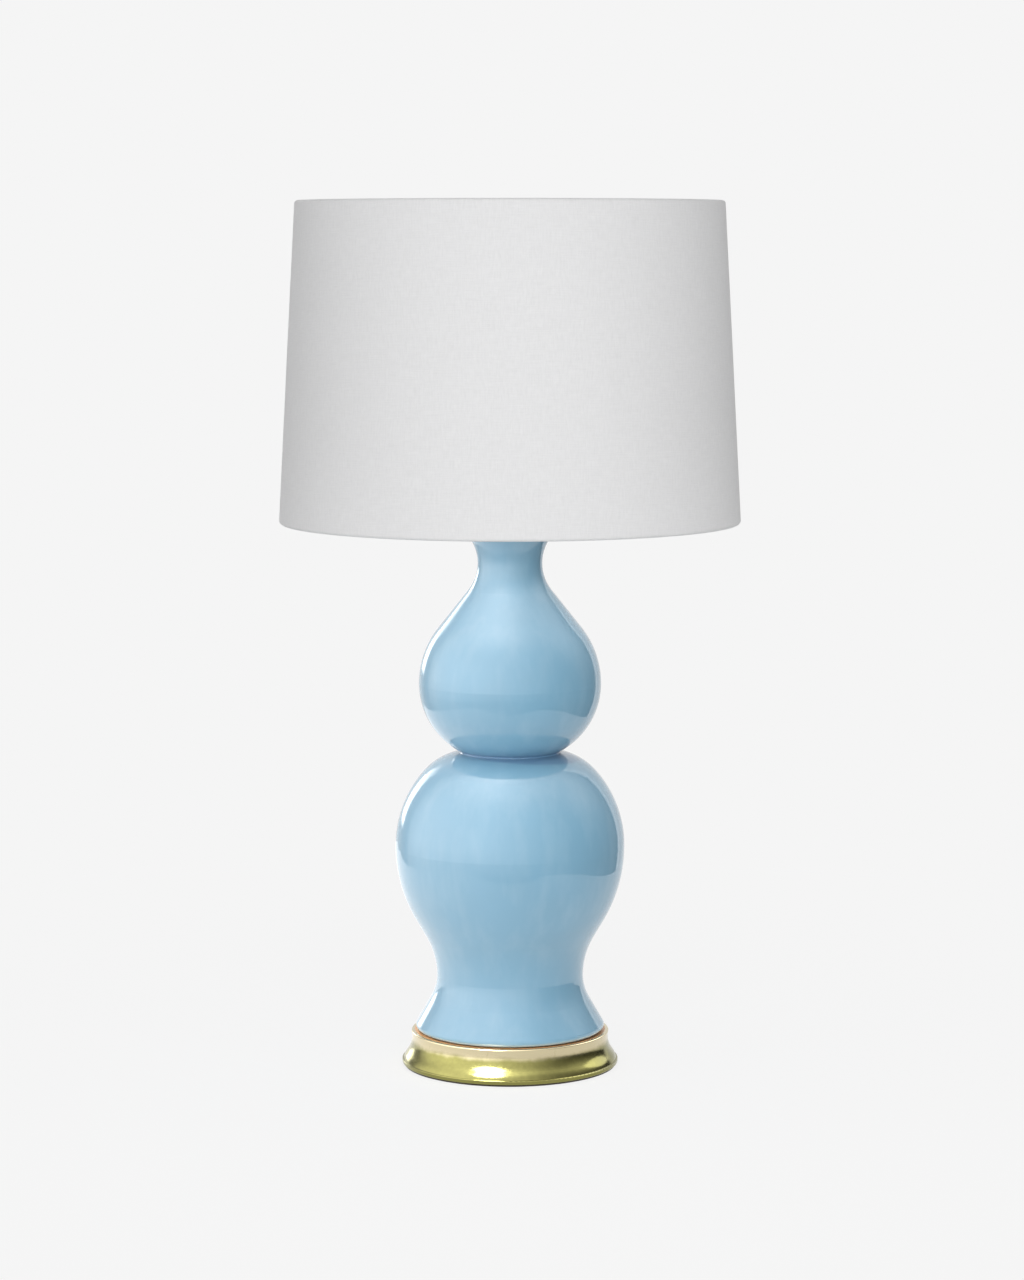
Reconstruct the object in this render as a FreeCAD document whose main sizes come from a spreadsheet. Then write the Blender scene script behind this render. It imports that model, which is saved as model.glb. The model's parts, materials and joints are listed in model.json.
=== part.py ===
import FreeCAD, Part
import math
import os
import re
import Sketcher

# Double gourd table lamp. Millimetres, origin on the floor under the middle, +Z up, front towards -Y.
# The driving sizes are in the sheet named sizes. Every piece is an object bound to those cells.

SIZES = [
    # Base moulding, felt and fixings
    ("felt_thick", 2.0),
    ("felt_inset", 1.6),
    ("base_radius", 102.6),
    ("base_height", 31.2),
    ("rim_height", 4.0),
    ("rim_round", 0.9),
    ("flare_inset", 0.9),
    ("flare_arc", 15.6),
    ("cove_inset", 9.5),
    ("cove_height", 24.7),
    ("cove_arc", 23.7),
    ("arris_round", 1.1),
    ("recess_radius", 28.0),
    ("recess_depth", 18.0),
    ("washer_radius", 15.0),
    ("washer_thick", 1.6),
    ("nut_radius", 9.2),
    ("nut_thick", 4.0),
    ("inlet_height", 13.0),
    ("inlet_inset", 8.6),
    ("inlet_spot", 7.2),
    ("inlet_barrel", 5.0),
    ("inlet_length", 12.0),
    ("inlet_flange", 6.6),
    ("inlet_flange_thick", 2.0),
    ("inlet_round", 0.8),
    ("inlet_bore_round", 0.4),
    ("inlet_bore", 3.5),
    # Felt ring between the base and the ceramic foot
    ("seat_thick", 0.8),
    ("seat_width", 20.0),
    ("seat_margin", 6.0),
    # Ceramic double gourd: levels and shares are of the throat height, fits of the largest arc with room
    ("body_wall", 6.0),
    ("throat_height", 444.0),
    ("foot_inset", 13.2),
    ("foot_round", 4.0),
    ("foot_fit", 0.7118),
    ("neck_radius", 69.5),
    ("neck_height_share", 0.1158),
    ("neck_fit", 0.941),
    ("low_radius", 108.5),
    ("low_height_share", 0.3962),
    ("low_under_share", 0.3131),
    ("low_over_share", 0.2392),
    ("shoulder_height_share", 0.5556),
    ("shoulder_share", 0.1277),
    ("crease_round", 0.8),
    ("high_radius", 86.0),
    ("high_height_share", 0.7439),
    ("high_under_share", 0.1635),
    ("high_over_share", 0.1903),
    ("throat_radius", 30.4),
    ("throat_fit", 0.688),
    ("mouth_rise", 26.0),
    ("lip_round", 2.0),
    ("floor_thick", 9.0),
    ("floor_edge", 9.0),
    ("floor_round", 4.0),
    # Threaded pipe through the middle
    ("pipe_radius", 5.1),
    ("pipe_bore", 3.4),
    ("pipe_play", 0.4),
    ("pipe_tail", 3.0),
    ("thread_round", 0.4),
    # Neck fittings
    ("gasket_thick", 1.0),
    ("gasket_margin", 0.6),
    ("cap_play", 1.1),
    ("cap_skirt", 3.0),
    ("cap_sheet", 1.2),
    ("cap_step", 27.0),
    ("cap_crown", 11.0),
    ("cap_height", 9.0),
    ("spacer_radius", 8.5),
    ("spacer_waist", 6.8),
    ("spacer_band", 3.0),
    ("spacer_round", 0.6),
    ("spacer_height", 16.0),
    # Harp and its saddle
    ("strap_thick", 2.0),
    ("strap_width", 14.0),
    ("strap_end", 4.6),
    ("tab_width", 5.0),
    ("tab_height", 9.0),
    ("tab_offset", 0.5),
    ("harp_play", 0.1),
    ("harp_foot", 31.0),
    ("harp_wire_radius", 2.0),
    ("harp_flat", 11.0),
    ("harp_leg", 36.0),
    ("harp_flare_arc", 34.0),
    ("harp_reach", 57.0),
    ("harp_widest", 128.0),
    ("harp_side_arc", 120.0),
    ("harp_crown", 10.0),
    ("harp_crown_arc", 40.0),
    ("harp_height", 254.0),
    ("ferrule_radius", 4.8),
    ("ferrule_bore", 4.0),
    ("ferrule_height", 12.0),
    ("ferrule_round", 0.4),
    ("boss_half", 6.0),
    ("boss_height", 7.4),
    ("boss_round", 1.5),
    ("stud_shank", 3.0),
    ("stud_head", 4.8),
    ("stud_head_thick", 1.6),
    ("stud_flange", 9.0),
    ("stud_flange_thick", 1.6),
    ("stud_thread", 3.1),
    ("stud_reach", 6.6),
    ("turning_fit", 0.05),
    # Shade and its wire frame
    ("spider_drop", 26.7),
    ("shade_height", 300.0),
    ("top_ring_radius", 196.7),
    ("bottom_ring_radius", 212.7),
    ("roll_radius", 3.3),
    ("fabric_thick", 1.0),
    ("liner_thick", 0.6),
    ("liner_margin", 3.2),
    ("hub_radius", 15.0),
    ("hub_hole", 3.6),
    ("hub_thick", 3.0),
    ("arm_start", 9.8),
    ("arm_wire", 2.0),
    ("arm_bend", 9.0),
    ("arm_inset", 1.2),
    # Finial
    ("finial_washer_radius", 8.2),
    ("finial_washer_thick", 1.5),
    ("finial_bore", 3.2),
    ("finial_bore_depth", 8.6),
    ("finial_foot", 6.6),
    ("finial_foot_height", 2.2),
    ("finial_foot_round", 0.6),
    ("finial_neck_level", 4.4),
    ("finial_neck", 3.9),
    ("finial_ball", 6.2),
    ("finial_ball_height", 14.6),
    # Socket
    ("collar_radius", 8.2),
    ("collar_height", 8.0),
    ("cup_radius", 19.8),
    ("cup_sheet", 0.8),
    ("cup_round", 4.0),
    ("cup_height", 21.0),
    ("pipe_proud", 2.0),
    ("set_screw_radius", 1.5),
    ("set_screw_head", 2.8),
    ("set_screw_head_thick", 1.8),
    ("set_screw_height", 3.8),
    ("slot_width", 0.7),
    ("slot_depth", 0.7),
    ("screw_round", 0.5),
    ("bushing_bore", 2.4),
    ("bushing_flange_thick", 1.2),
    ("bushing_plug", 6.0),
    ("core_radius", 16.6),
    ("core_round", 3.4),
    ("core_height", 29.0),
    ("core_well", 8.6),
    ("core_well_depth", 6.0),
    ("shell_sheet", 0.6),
    ("rim_soften", 0.2),
    ("shell_gap", 6.0),
    ("shell_length", 46.0),
    ("socket_liner_thick", 0.8),
    ("socket_liner_inset", 1.0),
    ("key_slot_half", 3.6),
    ("key_slot_round", 3.2),
    ("key_height", 19.0),
    ("terminal_height", 9.0),
    ("terminal_depth", 3.0),
    ("terminal_head", 3.0),
    ("terminal_room", 0.6),
    ("terminal_head_thick", 1.5),
    ("terminal_shank", 1.5),
    ("terminal_length", 6.0),
    ("thread_shell_radius", 13.25),
    ("thread_shell_sheet", 0.5),
    ("thread_shell_height", 22.0),
    ("contact_hole", 5.0),
    ("contact_radius", 3.4),
    ("contact_height", 2.5),
    # Switch
    ("switch_shaft_radius", 2.0),
    ("switch_shaft_start", 5.6),
    ("switch_shaft_end", 33.0),
    ("rotor_half", 3.0),
    ("rotor_round", 0.5),
    ("rotor_play", 0.5),
    ("rotor_length", 6.0),
    ("knob_start", 22.0),
    ("knob_length", 15.0),
    ("knob_radius", 6.0),
    ("knob_round", 1.2),
    ("knob_foot_round", 0.6),
    ("flute_radius", 0.9),
    ("flute_offset", 0.4),
    ("flute_count", 12),
    # Bulb
    ("tip_gap", 0.1),
    ("tip_radius", 4.6),
    ("tip_height", 1.6),
    ("tip_round", 1.0),
    ("glass_button_radius", 9.4),
    ("glass_button_height", 6.4),
    ("bulb_cap_radius", 13.0),
    ("bulb_cap_sheet", 0.5),
    ("bulb_cap_cone", 8.6),
    ("bulb_cap_height", 26.0),
    ("glass_wall", 0.9),
    ("glass_neck_height", 5.0),
    ("glass_neck_arc", 38.0),
    ("glass_radius", 30.0),
    ("bulb_height", 110.0),
    ("stem_radius", 3.2),
    ("stem_flare", 9.0),
    ("stem_height", 40.0),
    ("lead_radius", 0.4),
    ("lead_gap", 1.6),
    ("lead_bend", 3.0),
    ("lead_rise", 3.0),
    ("lead_spread", 9.0),
    ("filament_height", 24.0),
]

SPIDER_ARMS = 3
FIRST_ARM_ANGLE = 90.0

doc = FreeCAD.newDocument("double_gourd_lamp")
sheet = doc.addObject("Spreadsheet::Sheet", "sizes")
for row, (name, value) in enumerate(SIZES, start=1):
    sheet.set(f"A{row}", name)
    sheet.set(f"B{row}", str(value))
    sheet.setAlias(f"B{row}", name)
doc.recompute()

# Levels up the lamp, each worked out from the sheet
BASE_TOP = "(felt_thick + base_height)"
FOOT = f"({BASE_TOP} + seat_thick)"
MOUTH = f"({FOOT} + throat_height + mouth_rise)"
CAP_SEAT = f"({MOUTH} + gasket_thick)"
CAP_TOP = f"({CAP_SEAT} + cap_height)"
STRAP = f"({CAP_TOP} + spacer_height)"
STRAP_TOP = f"({STRAP} + strap_thick)"
SOCKET = f"({STRAP_TOP} + nut_thick)"
CUP_FLOOR = f"({SOCKET} + collar_height)"
PIPE_TOP = f"({CUP_FLOOR} + pipe_proud)"
CORE_TOP = f"({CUP_FLOOR} + core_height)"
KEY_AXIS = f"({CUP_FLOOR} + key_height)"
BULB_TIP = f"({CORE_TOP} + contact_height + tip_gap)"
BULB_TOP = f"({BULB_TIP} + bulb_height)"
HARP_SEAT = f"({STRAP_TOP} + harp_height)"
BOSS_TOP = f"({HARP_SEAT} - stud_flange_thick - turning_fit)"
BOSS = f"({BOSS_TOP} - boss_height)"
HUB_TOP = f"({HARP_SEAT} + hub_thick)"
FINIAL = f"({HUB_TOP} + finial_washer_thick)"
RECESS_TOP = "(felt_thick + recess_depth)"
PIPE_FOOT = f"({RECESS_TOP} - washer_thick - nut_thick - pipe_tail)"
TOP_RING = f"({HARP_SEAT} + spider_drop)"
BOTTOM_RING = f"({TOP_RING} - shade_height + roll_radius * 2)"
RING_WIRE = "(roll_radius - fabric_thick)"

NECK_HEIGHT = "(throat_height * neck_height_share)"
LOW_HEIGHT = "(throat_height * low_height_share)"
SHOULDER_HEIGHT = "(throat_height * shoulder_height_share)"
HIGH_HEIGHT = "(throat_height * high_height_share)"


def fitting_arc(width, rise, other):
    """Radius of the largest hollow arc that runs straight into another, both upright at their far ends."""
    return f"((({width})^2 + ({rise})^2) / (2 * ({width})) - {other})"


# Radii that follow from others
LOW_UNDER = "(throat_height * low_under_share)"
LOW_OVER = "(throat_height * low_over_share)"
SHOULDER_ARC = "(throat_height * shoulder_share)"
HIGH_UNDER = "(throat_height * high_under_share)"
HIGH_OVER = "(throat_height * high_over_share)"
FOOT_RADIUS = "(base_radius - foot_inset)"
FOOT_GAP = fitting_arc(f"{FOOT_RADIUS} - neck_radius", f"{NECK_HEIGHT} - foot_round", "foot_round")
FOOT_ARC = f"(foot_fit * {FOOT_GAP})"
NECK_GAP = fitting_arc("low_radius - neck_radius", f"{LOW_HEIGHT} - {NECK_HEIGHT}", LOW_UNDER)
NECK_ARC = f"(neck_fit * {NECK_GAP})"
THROAT_GAP = fitting_arc("high_radius - throat_radius", f"throat_height - {HIGH_HEIGHT}", HIGH_OVER)
THROAT_ARC = f"(throat_fit * {THROAT_GAP})"
THROAT_CENTRE = f"(throat_radius + {THROAT_ARC})"
MOUTH_BORE = f"({THROAT_CENTRE} - sqrt(({THROAT_ARC} + body_wall)^2 - mouth_rise^2))"
LIP_CENTRE = f"({THROAT_CENTRE} - sqrt(({THROAT_ARC} + lip_round)^2 - (mouth_rise - lip_round)^2))"
CAP_INSIDE = f"({LIP_CENTRE} + lip_round + cap_play)"
CAP_RADIUS = f"({CAP_INSIDE} + cap_sheet)"
PIPE_HOLE = "(pipe_radius + pipe_play)"
INLET_FACE = "(base_radius - inlet_inset)"
SHELL_RADIUS = "(cup_radius - cup_sheet)"
SHELL = f"({CUP_FLOOR} + shell_gap)"
LINER_RADIUS = f"({SHELL_RADIUS} - shell_sheet)"


def full(expression):
    """Names the sheet in front of each alias."""
    return re.sub(r"\b([a-z]+(?:_[a-z]+)+)\b", r"sizes.\1", expression)


def number(expression):
    """The present value of an expression of sheet sizes."""
    return float(sheet.evalExpression(full(expression)))


# Bodies, sketches and outlines

def new_body(label):
    body = doc.addObject("PartDesign::Body", label)
    body.Label = label
    return body


def origin_plane(body, role):
    return next(item for item in body.Origin.OriginFeatures if item.Role == role)


def new_sketch(body, role, lift="0"):
    """A sketch on one of the body's own planes, lifted along that plane's normal."""
    sketch = body.newObject("Sketcher::SketchObject", "outline")
    sketch.AttachmentSupport = (origin_plane(body, role), "")
    sketch.MapMode = "FlatFace"
    if lift != "0":
        sketch.setExpression("AttachmentOffset.Base.z", full(lift))
    return sketch


def limit(sketch, kind, *spots, value):
    """Adds one dimension and ties it to the sheet."""
    index = sketch.addConstraint(Sketcher.Constraint(kind, *spots, number(value)))
    sketch.setExpression(f"Constraints[{index}]", full(value))


def fix_spot(sketch, geometry, end, x, y):
    """Places a point of the sketch. A coordinate of None stays free."""
    for axis, kind, value in ((-2, "DistanceX", x), (-1, "DistanceY", y)):
        if value == "0":
            sketch.addConstraint(Sketcher.Constraint("PointOnObject", geometry, end, axis))
        elif value is not None:
            limit(sketch, kind, -1, 1, geometry, end, value=value)


def point(x, y, round_by=None, side=1):
    """A corner. With one coordinate None it lies on the arc before or after it."""
    return {"arc": False, "x": x, "y": y, "round": round_by, "side": side}


def arc(x, y, radius, turn, join="line", height=None):
    """An arc, anticlockwise where turn is 1. join says how the step before runs into it:
    line by a tangent line, level at its widest point, height at a height, blend as a fillet
    between the arcs on both sides, lip as a fillet onto a level line, on from a corner on it."""
    return {"arc": True, "x": x, "y": y, "radius": radius, "turn": turn, "join": join, "height": height}


class Outline:
    """Draws a chain of corners and arcs in a sketch and ties it to the sheet."""

    def __init__(self, sketch, steps, closed=True):
        self.sketch = sketch
        self.steps = steps
        self.closed = closed
        self.locate()
        self.draw()

    def neighbour(self, index, offset):
        place = index + offset
        if not self.closed and not 0 <= place < len(self.steps):
            return None
        return self.steps[place % len(self.steps)]

    def locate(self):
        """Finds every centre and corner, so that the solver starts from the real shape."""
        for step in self.steps:
            step["centre"] = None
            if step["arc"]:
                step["size"] = number(step["radius"]) * step["turn"]
            else:
                step["size"] = 0.0
            if step["x"] is not None and step["y"] is not None:
                step["centre"] = (number(step["x"]), number(step["y"]))
        for index, step in enumerate(self.steps):
            if step["arc"] and step["join"] in ("level", "height"):
                self.follow(step, self.neighbour(index, -1))
        for index, step in enumerate(self.steps):
            if step["arc"] and step["join"] == "blend":
                self.fillet(step, self.neighbour(index, -1), self.neighbour(index, 1))
            if step["arc"] and step["join"] == "lip":
                self.edge(step, self.neighbour(index, -1), self.neighbour(index, 1))
        for index, step in enumerate(self.steps):
            if not step["arc"] and step["centre"] is None:
                self.cross(step, index)

    def follow(self, step, before):
        """An arc that goes on from the one before, tangent at a level or a height."""
        x, y = before["centre"]
        reach = abs(before["size"])
        rise = 0.0
        if step["join"] == "height":
            rise = number(step["height"]) - y
        along = math.copysign(math.sqrt(reach * reach - rise * rise), before["size"])
        scale = (abs(before["size"]) - step["size"] * math.copysign(1.0, before["size"])) / reach
        step["centre"] = (x + along * scale, y + rise * scale)

    def fillet(self, step, before, after):
        """A small arc tangent to the arcs on both sides, on their outer side."""
        near = abs(before["size"] - step["size"])
        far = abs(after["size"] - step["size"])
        (x, y), (u, v) = before["centre"], after["centre"]
        gap = math.hypot(u - x, v - y)
        along = (near * near - far * far + gap * gap) / (2.0 * gap)
        aside = math.sqrt(near * near - along * along)
        step["centre"] = (
            x + (u - x) * along / gap + (v - y) * aside / gap,
            y + (v - y) * along / gap - (u - x) * aside / gap,
        )

    def edge(self, step, before, after):
        """A small arc tangent to the arc before and to the level line after it."""
        x, y = before["centre"]
        height = number(after["y"]) - step["size"]
        reach = abs(before["size"] - step["size"])
        along = math.copysign(math.sqrt(reach * reach - (height - y) ** 2), before["size"])
        step["centre"] = (x + along, height)

    def cross(self, step, index):
        """A corner where a level or upright line crosses the arc beside it."""
        before, after = self.neighbour(index, -1), self.neighbour(index, 1)
        curve = after if after is not None and after["arc"] else before
        x, y = curve["centre"]
        reach = abs(curve["size"])
        if step["x"] is None:
            rise = number(step["y"]) - y
            step["centre"] = (x + step["side"] * math.sqrt(reach * reach - rise * rise), y + rise)
        else:
            run = number(step["x"]) - x
            step["centre"] = (x + run, y + step["side"] * math.sqrt(reach * reach - run * run))

    @staticmethod
    def direct(before, after):
        """True where two steps meet at a point, with no line between them."""
        if after["arc"] and after["join"] in ("level", "height", "blend", "lip", "on"):
            return True
        if before["arc"] and before["join"] == "blend":
            return True
        return before["arc"] and not after["arc"] and (after["x"] is None or after["y"] is None)

    def meeting(self, before, after):
        """The end of one step and the start of the next, by their common tangent."""
        (x, y), (u, v) = before["centre"], after["centre"]
        if self.direct(before, after):
            if not before["arc"]:
                return (x, y), (x, y)
            if not after["arc"]:
                return (u, v), (u, v)
            split = before["size"] - after["size"]
            spot = (x + (u - x) * before["size"] / split, y + (v - y) * before["size"] / split)
            return spot, spot
        step = after["size"] - before["size"]
        gap = math.hypot(u - x, v - y)
        run = math.sqrt(gap * gap - step * step)
        heading = math.atan2(v - y, u - x) - math.atan2(step, run)
        left = (-math.sin(heading), math.cos(heading))
        return (
            (x - left[0] * before["size"], y - left[1] * before["size"]),
            (u - left[0] * after["size"], v - left[1] * after["size"]),
        )

    def draw(self):
        """Adds the lines and arcs, joins them, then adds their sizes."""
        count = len(self.steps)
        links = count if self.closed else count - 1
        ends = {}
        starts = {}
        for index in range(links):
            before, after = self.steps[index], self.steps[(index + 1) % count]
            ends[index], starts[(index + 1) % count] = self.meeting(before, after)
        self.rounds(starts, ends)
        for index, step in enumerate(self.steps):
            if step["arc"] or step["round"]:
                step["curve"] = self.add_arc(step, starts[index], ends[index])
        for index in range(links):
            before, after = self.steps[index], self.steps[(index + 1) % count]
            line = None
            if not self.direct(before, after):
                first = FreeCAD.Vector(*ends[index], 0)
                second = FreeCAD.Vector(*starts[(index + 1) % count], 0)
                line = self.sketch.addGeometry(Part.LineSegment(first, second))
            before["line_after"] = line
            after["line_before"] = line
        for index, step in enumerate(self.steps):
            self.tie(index, step)

    def rounds(self, starts, ends):
        """Moves the ends of two lines back from a rounded corner."""
        for index, step in enumerate(self.steps):
            if step["arc"] or not step["round"]:
                continue
            before = FreeCAD.Vector(*ends[(index - 1) % len(self.steps)], 0)
            after = FreeCAD.Vector(*starts[(index + 1) % len(self.steps)], 0)
            corner = FreeCAD.Vector(*step["centre"], 0)
            inward = (before - corner).normalize()
            outward = (after - corner).normalize()
            half = inward.getAngle(outward) / 2.0
            radius = number(step["round"])
            first = corner + inward * (radius / math.tan(half))
            second = corner + outward * (radius / math.tan(half))
            middle = corner + (inward + outward).normalize() * (radius / math.sin(half))
            turn = math.copysign(1.0, (inward * -1.0).cross(outward).z)
            step["corner"] = step["centre"]
            step["centre"] = (middle.x, middle.y)
            step["turn"] = turn
            step["size"] = radius * turn
            starts[index] = (first.x, first.y)
            ends[index] = (second.x, second.y)

    def add_arc(self, step, start, end):
        x, y = step["centre"]
        circle = Part.Circle(FreeCAD.Vector(x, y, 0), FreeCAD.Vector(0, 0, 1), abs(step["size"]))
        first = math.atan2(start[1] - y, start[0] - x)
        last = math.atan2(end[1] - y, end[0] - x)
        if step["turn"] < 0:
            first, last = last, first
        if last <= first:
            last += 2.0 * math.pi
        return self.sketch.addGeometry(Part.ArcOfCircle(circle, first, last))

    @staticmethod
    def head(step):
        """Which end of the step's arc the chain comes to first."""
        return 1 if step["turn"] > 0 else 2

    @staticmethod
    def tail(step):
        return 2 if step["turn"] > 0 else 1

    def tie(self, index, step):
        """Joins a step to what comes before it, and gives it its sizes."""
        sketch = self.sketch
        add = sketch.addConstraint
        first = not self.closed and index == 0
        last = not self.closed and index == len(self.steps) - 1
        before = None if first else self.neighbour(index, -1)
        if "curve" in step:
            curve = step["curve"]
            if not first and step["line_before"] is not None:
                add(Sketcher.Constraint("Tangent", step["line_before"], 2, curve, self.head(step)))
            if not last and step["line_after"] is not None:
                add(Sketcher.Constraint("Tangent", curve, self.tail(step), step["line_after"], 1))
            if step["arc"]:
                limit(sketch, "Radius", curve, value=step["radius"])
                fix_spot(sketch, curve, 3, step["x"], step["y"])
                self.tie_direct(step, before)
                if step["join"] == "lip":
                    add(Sketcher.Constraint("Horizontal", step["line_after"]))
            else:
                limit(sketch, "Radius", curve, value=step["round"])
                mark = sketch.addGeometry(Part.Point(FreeCAD.Vector(*step["corner"], 0)), True)
                fix_spot(sketch, mark, 1, step["x"], step["y"])
                add(Sketcher.Constraint("PointOnObject", mark, 1, step["line_before"]))
                add(Sketcher.Constraint("PointOnObject", mark, 1, step["line_after"]))
            return
        spots = []
        if not first:
            if step["line_before"] is not None:
                spots.append((step["line_before"], 2))
            else:
                spots.append((before["curve"], self.tail(before)))
        if not last:
            after = self.neighbour(index, 1)
            if step["line_after"] is not None:
                spots.append((step["line_after"], 1))
            else:
                spots.append((after["curve"], self.head(after)))
        if len(spots) == 2:
            add(Sketcher.Constraint("Coincident", *spots[0], *spots[1]))
        fix_spot(sketch, *spots[0], step["x"], step["y"])

    def tie_direct(self, step, before):
        """Joins an arc to the arc before it where no line lies between them."""
        if before is None or not before["arc"] or not self.direct(before, step):
            return
        sketch = self.sketch
        end = (before["curve"], self.tail(before))
        sketch.addConstraint(Sketcher.Constraint("Tangent", *end, step["curve"], self.head(step)))
        if step["join"] == "level":
            sketch.addConstraint(Sketcher.Constraint("Horizontal", before["curve"], 3, *end))
        if step["join"] == "height":
            fix_spot(sketch, *end, None, step["height"])


def revolve(body, sketch, kind="PartDesign::Revolution"):
    """Turns an outline about the upright axis, to add or to cut away."""
    feature = body.newObject(kind, "turning")
    feature.Profile = sketch
    feature.ReferenceAxis = (sketch, ["V_Axis"])
    feature.Angle = 360
    sketch.Visibility = False
    return feature


def turned(label, *steps):
    """A piece turned on a lathe, from its half section."""
    body = new_body(label)
    sketch = new_sketch(body, "XZ_Plane")
    Outline(sketch, list(steps))
    revolve(body, sketch)
    return body


def ring(label, inner, outer, bottom, top, soften=None):
    """A washer, disc or tube."""
    return turned(
        label,
        point(inner, bottom),
        point(outer, bottom, soften),
        point(outer, top, soften),
        point(inner, top),
    )


def extrude(body, sketch, kind, length, reverse=False, middle=False):
    feature = body.newObject(kind, "depth")
    feature.Profile = sketch
    feature.setExpression("Length", full(length))
    feature.Reversed = reverse
    feature.Midplane = middle
    return feature


def circle_sketch(body, role, x, y, radius, lift="0"):
    sketch = new_sketch(body, role, lift)
    spot = FreeCAD.Vector(number(x), number(y), 0)
    geometry = sketch.addGeometry(Part.Circle(spot, FreeCAD.Vector(0, 0, 1), number(radius)))
    fix_spot(sketch, geometry, 3, x, y)
    limit(sketch, "Radius", geometry, value=radius)
    return sketch


def sweep(body, path, profile):
    """A wire of one section along a path."""
    feature = body.newObject("PartDesign::AdditivePipe", "wire")
    feature.Profile = profile
    feature.Spine = (path, [])
    feature.Transition = "Transformed"
    return feature


def aim(piece, direction, height):
    """Turns a piece from its own upright axis to a level one at a height up the lamp."""
    turn = FreeCAD.Rotation(FreeCAD.Vector(0, 0, 1), FreeCAD.Vector(*direction))
    piece.Placement = FreeCAD.Placement(FreeCAD.Vector(0, 0, 0), turn)
    piece.setExpression("Placement.Base.z", full(height))


def hex_nut(label, bottom):
    """A hexagon nut on the threaded pipe."""
    prism = doc.addObject("Part::Prism", label + "_blank")
    prism.Polygon = 6
    prism.setExpression("Circumradius", full("nut_radius"))
    prism.setExpression("Height", full("nut_thick"))
    prism.setExpression("Placement.Base.z", full(bottom))
    hole = doc.addObject("Part::Cylinder", label + "_hole")
    hole.setExpression("Radius", full("pipe_radius"))
    hole.setExpression("Height", full("nut_thick"))
    hole.setExpression("Placement.Base.z", full(bottom))
    nut = doc.addObject("Part::Cut", label)
    nut.Base = prism
    nut.Tool = hole
    nut.Label = label
    return nut


# Base

def make_base():
    """Gilded moulding with a recess below for the nut and a channel at the back for the cord."""
    body = turned(
        "gilded_base",
        point(PIPE_HOLE, RECESS_TOP),
        point("recess_radius", RECESS_TOP),
        point("recess_radius", "felt_thick"),
        point("base_radius", "felt_thick", "rim_round"),
        point("base_radius", "felt_thick + rim_height", "rim_round"),
        point(None, "felt_thick + rim_height"),
        arc("base_radius - flare_inset - flare_arc", "felt_thick", "flare_arc", 1, join="on"),
        arc("base_radius - cove_inset + cove_arc", "felt_thick + cove_height", "cove_arc", -1),
        arc(None, None, "arris_round", 1, join="lip"),
        point(PIPE_HOLE, BASE_TOP),
    )
    channel = circle_sketch(body, "XZ_Plane", "0", "inlet_height", "inlet_barrel")
    extrude(body, channel, "PartDesign::Pocket", "base_radius")
    spot = circle_sketch(body, "XZ_Plane", "0", "inlet_height", "inlet_spot", lift=f"-{INLET_FACE}")
    extrude(body, spot, "PartDesign::Pocket", "base_radius")
    return body


def make_inlet_bushing():
    """Plastic bushing where the cord goes in, pressed into the channel at the back."""
    inner = f"{INLET_FACE} - inlet_length"
    outer = f"{INLET_FACE} + inlet_flange_thick"
    body = turned(
        "inlet_bushing",
        point("inlet_bore", inner),
        point("inlet_barrel", inner),
        point("inlet_barrel", INLET_FACE),
        point("inlet_flange", INLET_FACE),
        point("inlet_flange", outer, "inlet_round"),
        point("inlet_bore", outer, "inlet_bore_round"),
    )
    aim(body, (0, 1, 0), "inlet_height")
    return body


def base_pieces():
    washer = f"({RECESS_TOP} - washer_thick)"
    seat = f"{FOOT_RADIUS} - seat_margin"
    return [
        ring("base_felt", "0", "base_radius - felt_inset", "0", "felt_thick"),
        make_base(),
        ring("base_washer", PIPE_HOLE, "washer_radius", washer, RECESS_TOP),
        hex_nut("base_nut", f"{washer} - nut_thick"),
        make_inlet_bushing(),
        ring("seat_ring", f"{seat} - seat_width", seat, BASE_TOP, FOOT),
    ]


# Ceramic body

def gourd(wall):
    """The double gourd's curve from foot to throat, drawn at a depth inside the glaze."""
    fade = f"({LOW_OVER} - {wall}) / {LOW_OVER}"
    shoulder = f"{FOOT} + {LOW_HEIGHT} + ({SHOULDER_HEIGHT} - {LOW_HEIGHT}) * {fade}"
    return [
        arc(f"neck_radius + {FOOT_ARC}", f"{FOOT} + {NECK_HEIGHT}", f"{FOOT_ARC} + {wall}", -1),
        arc(None, None, f"{NECK_ARC} + {wall}", -1, join="level"),
        arc(f"low_radius - {LOW_UNDER}", f"{FOOT} + {LOW_HEIGHT}", f"{LOW_UNDER} - {wall}", 1),
        arc(None, None, f"{LOW_OVER} - {wall}", 1, join="level"),
        arc(None, None, f"{SHOULDER_ARC} - {wall}", 1, join="height", height=shoulder),
        arc(None, None, f"crease_round + {wall}", -1, join="blend"),
        arc(
            f"high_radius - {HIGH_UNDER}", f"{FOOT} + {HIGH_HEIGHT}",
            f"{HIGH_UNDER} - {wall}", 1, join="on",
        ),
        arc(None, None, f"{HIGH_OVER} - {wall}", 1, join="level"),
        arc(THROAT_CENTRE, f"{FOOT} + throat_height", f"{THROAT_ARC} + {wall}", -1),
    ]


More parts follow.
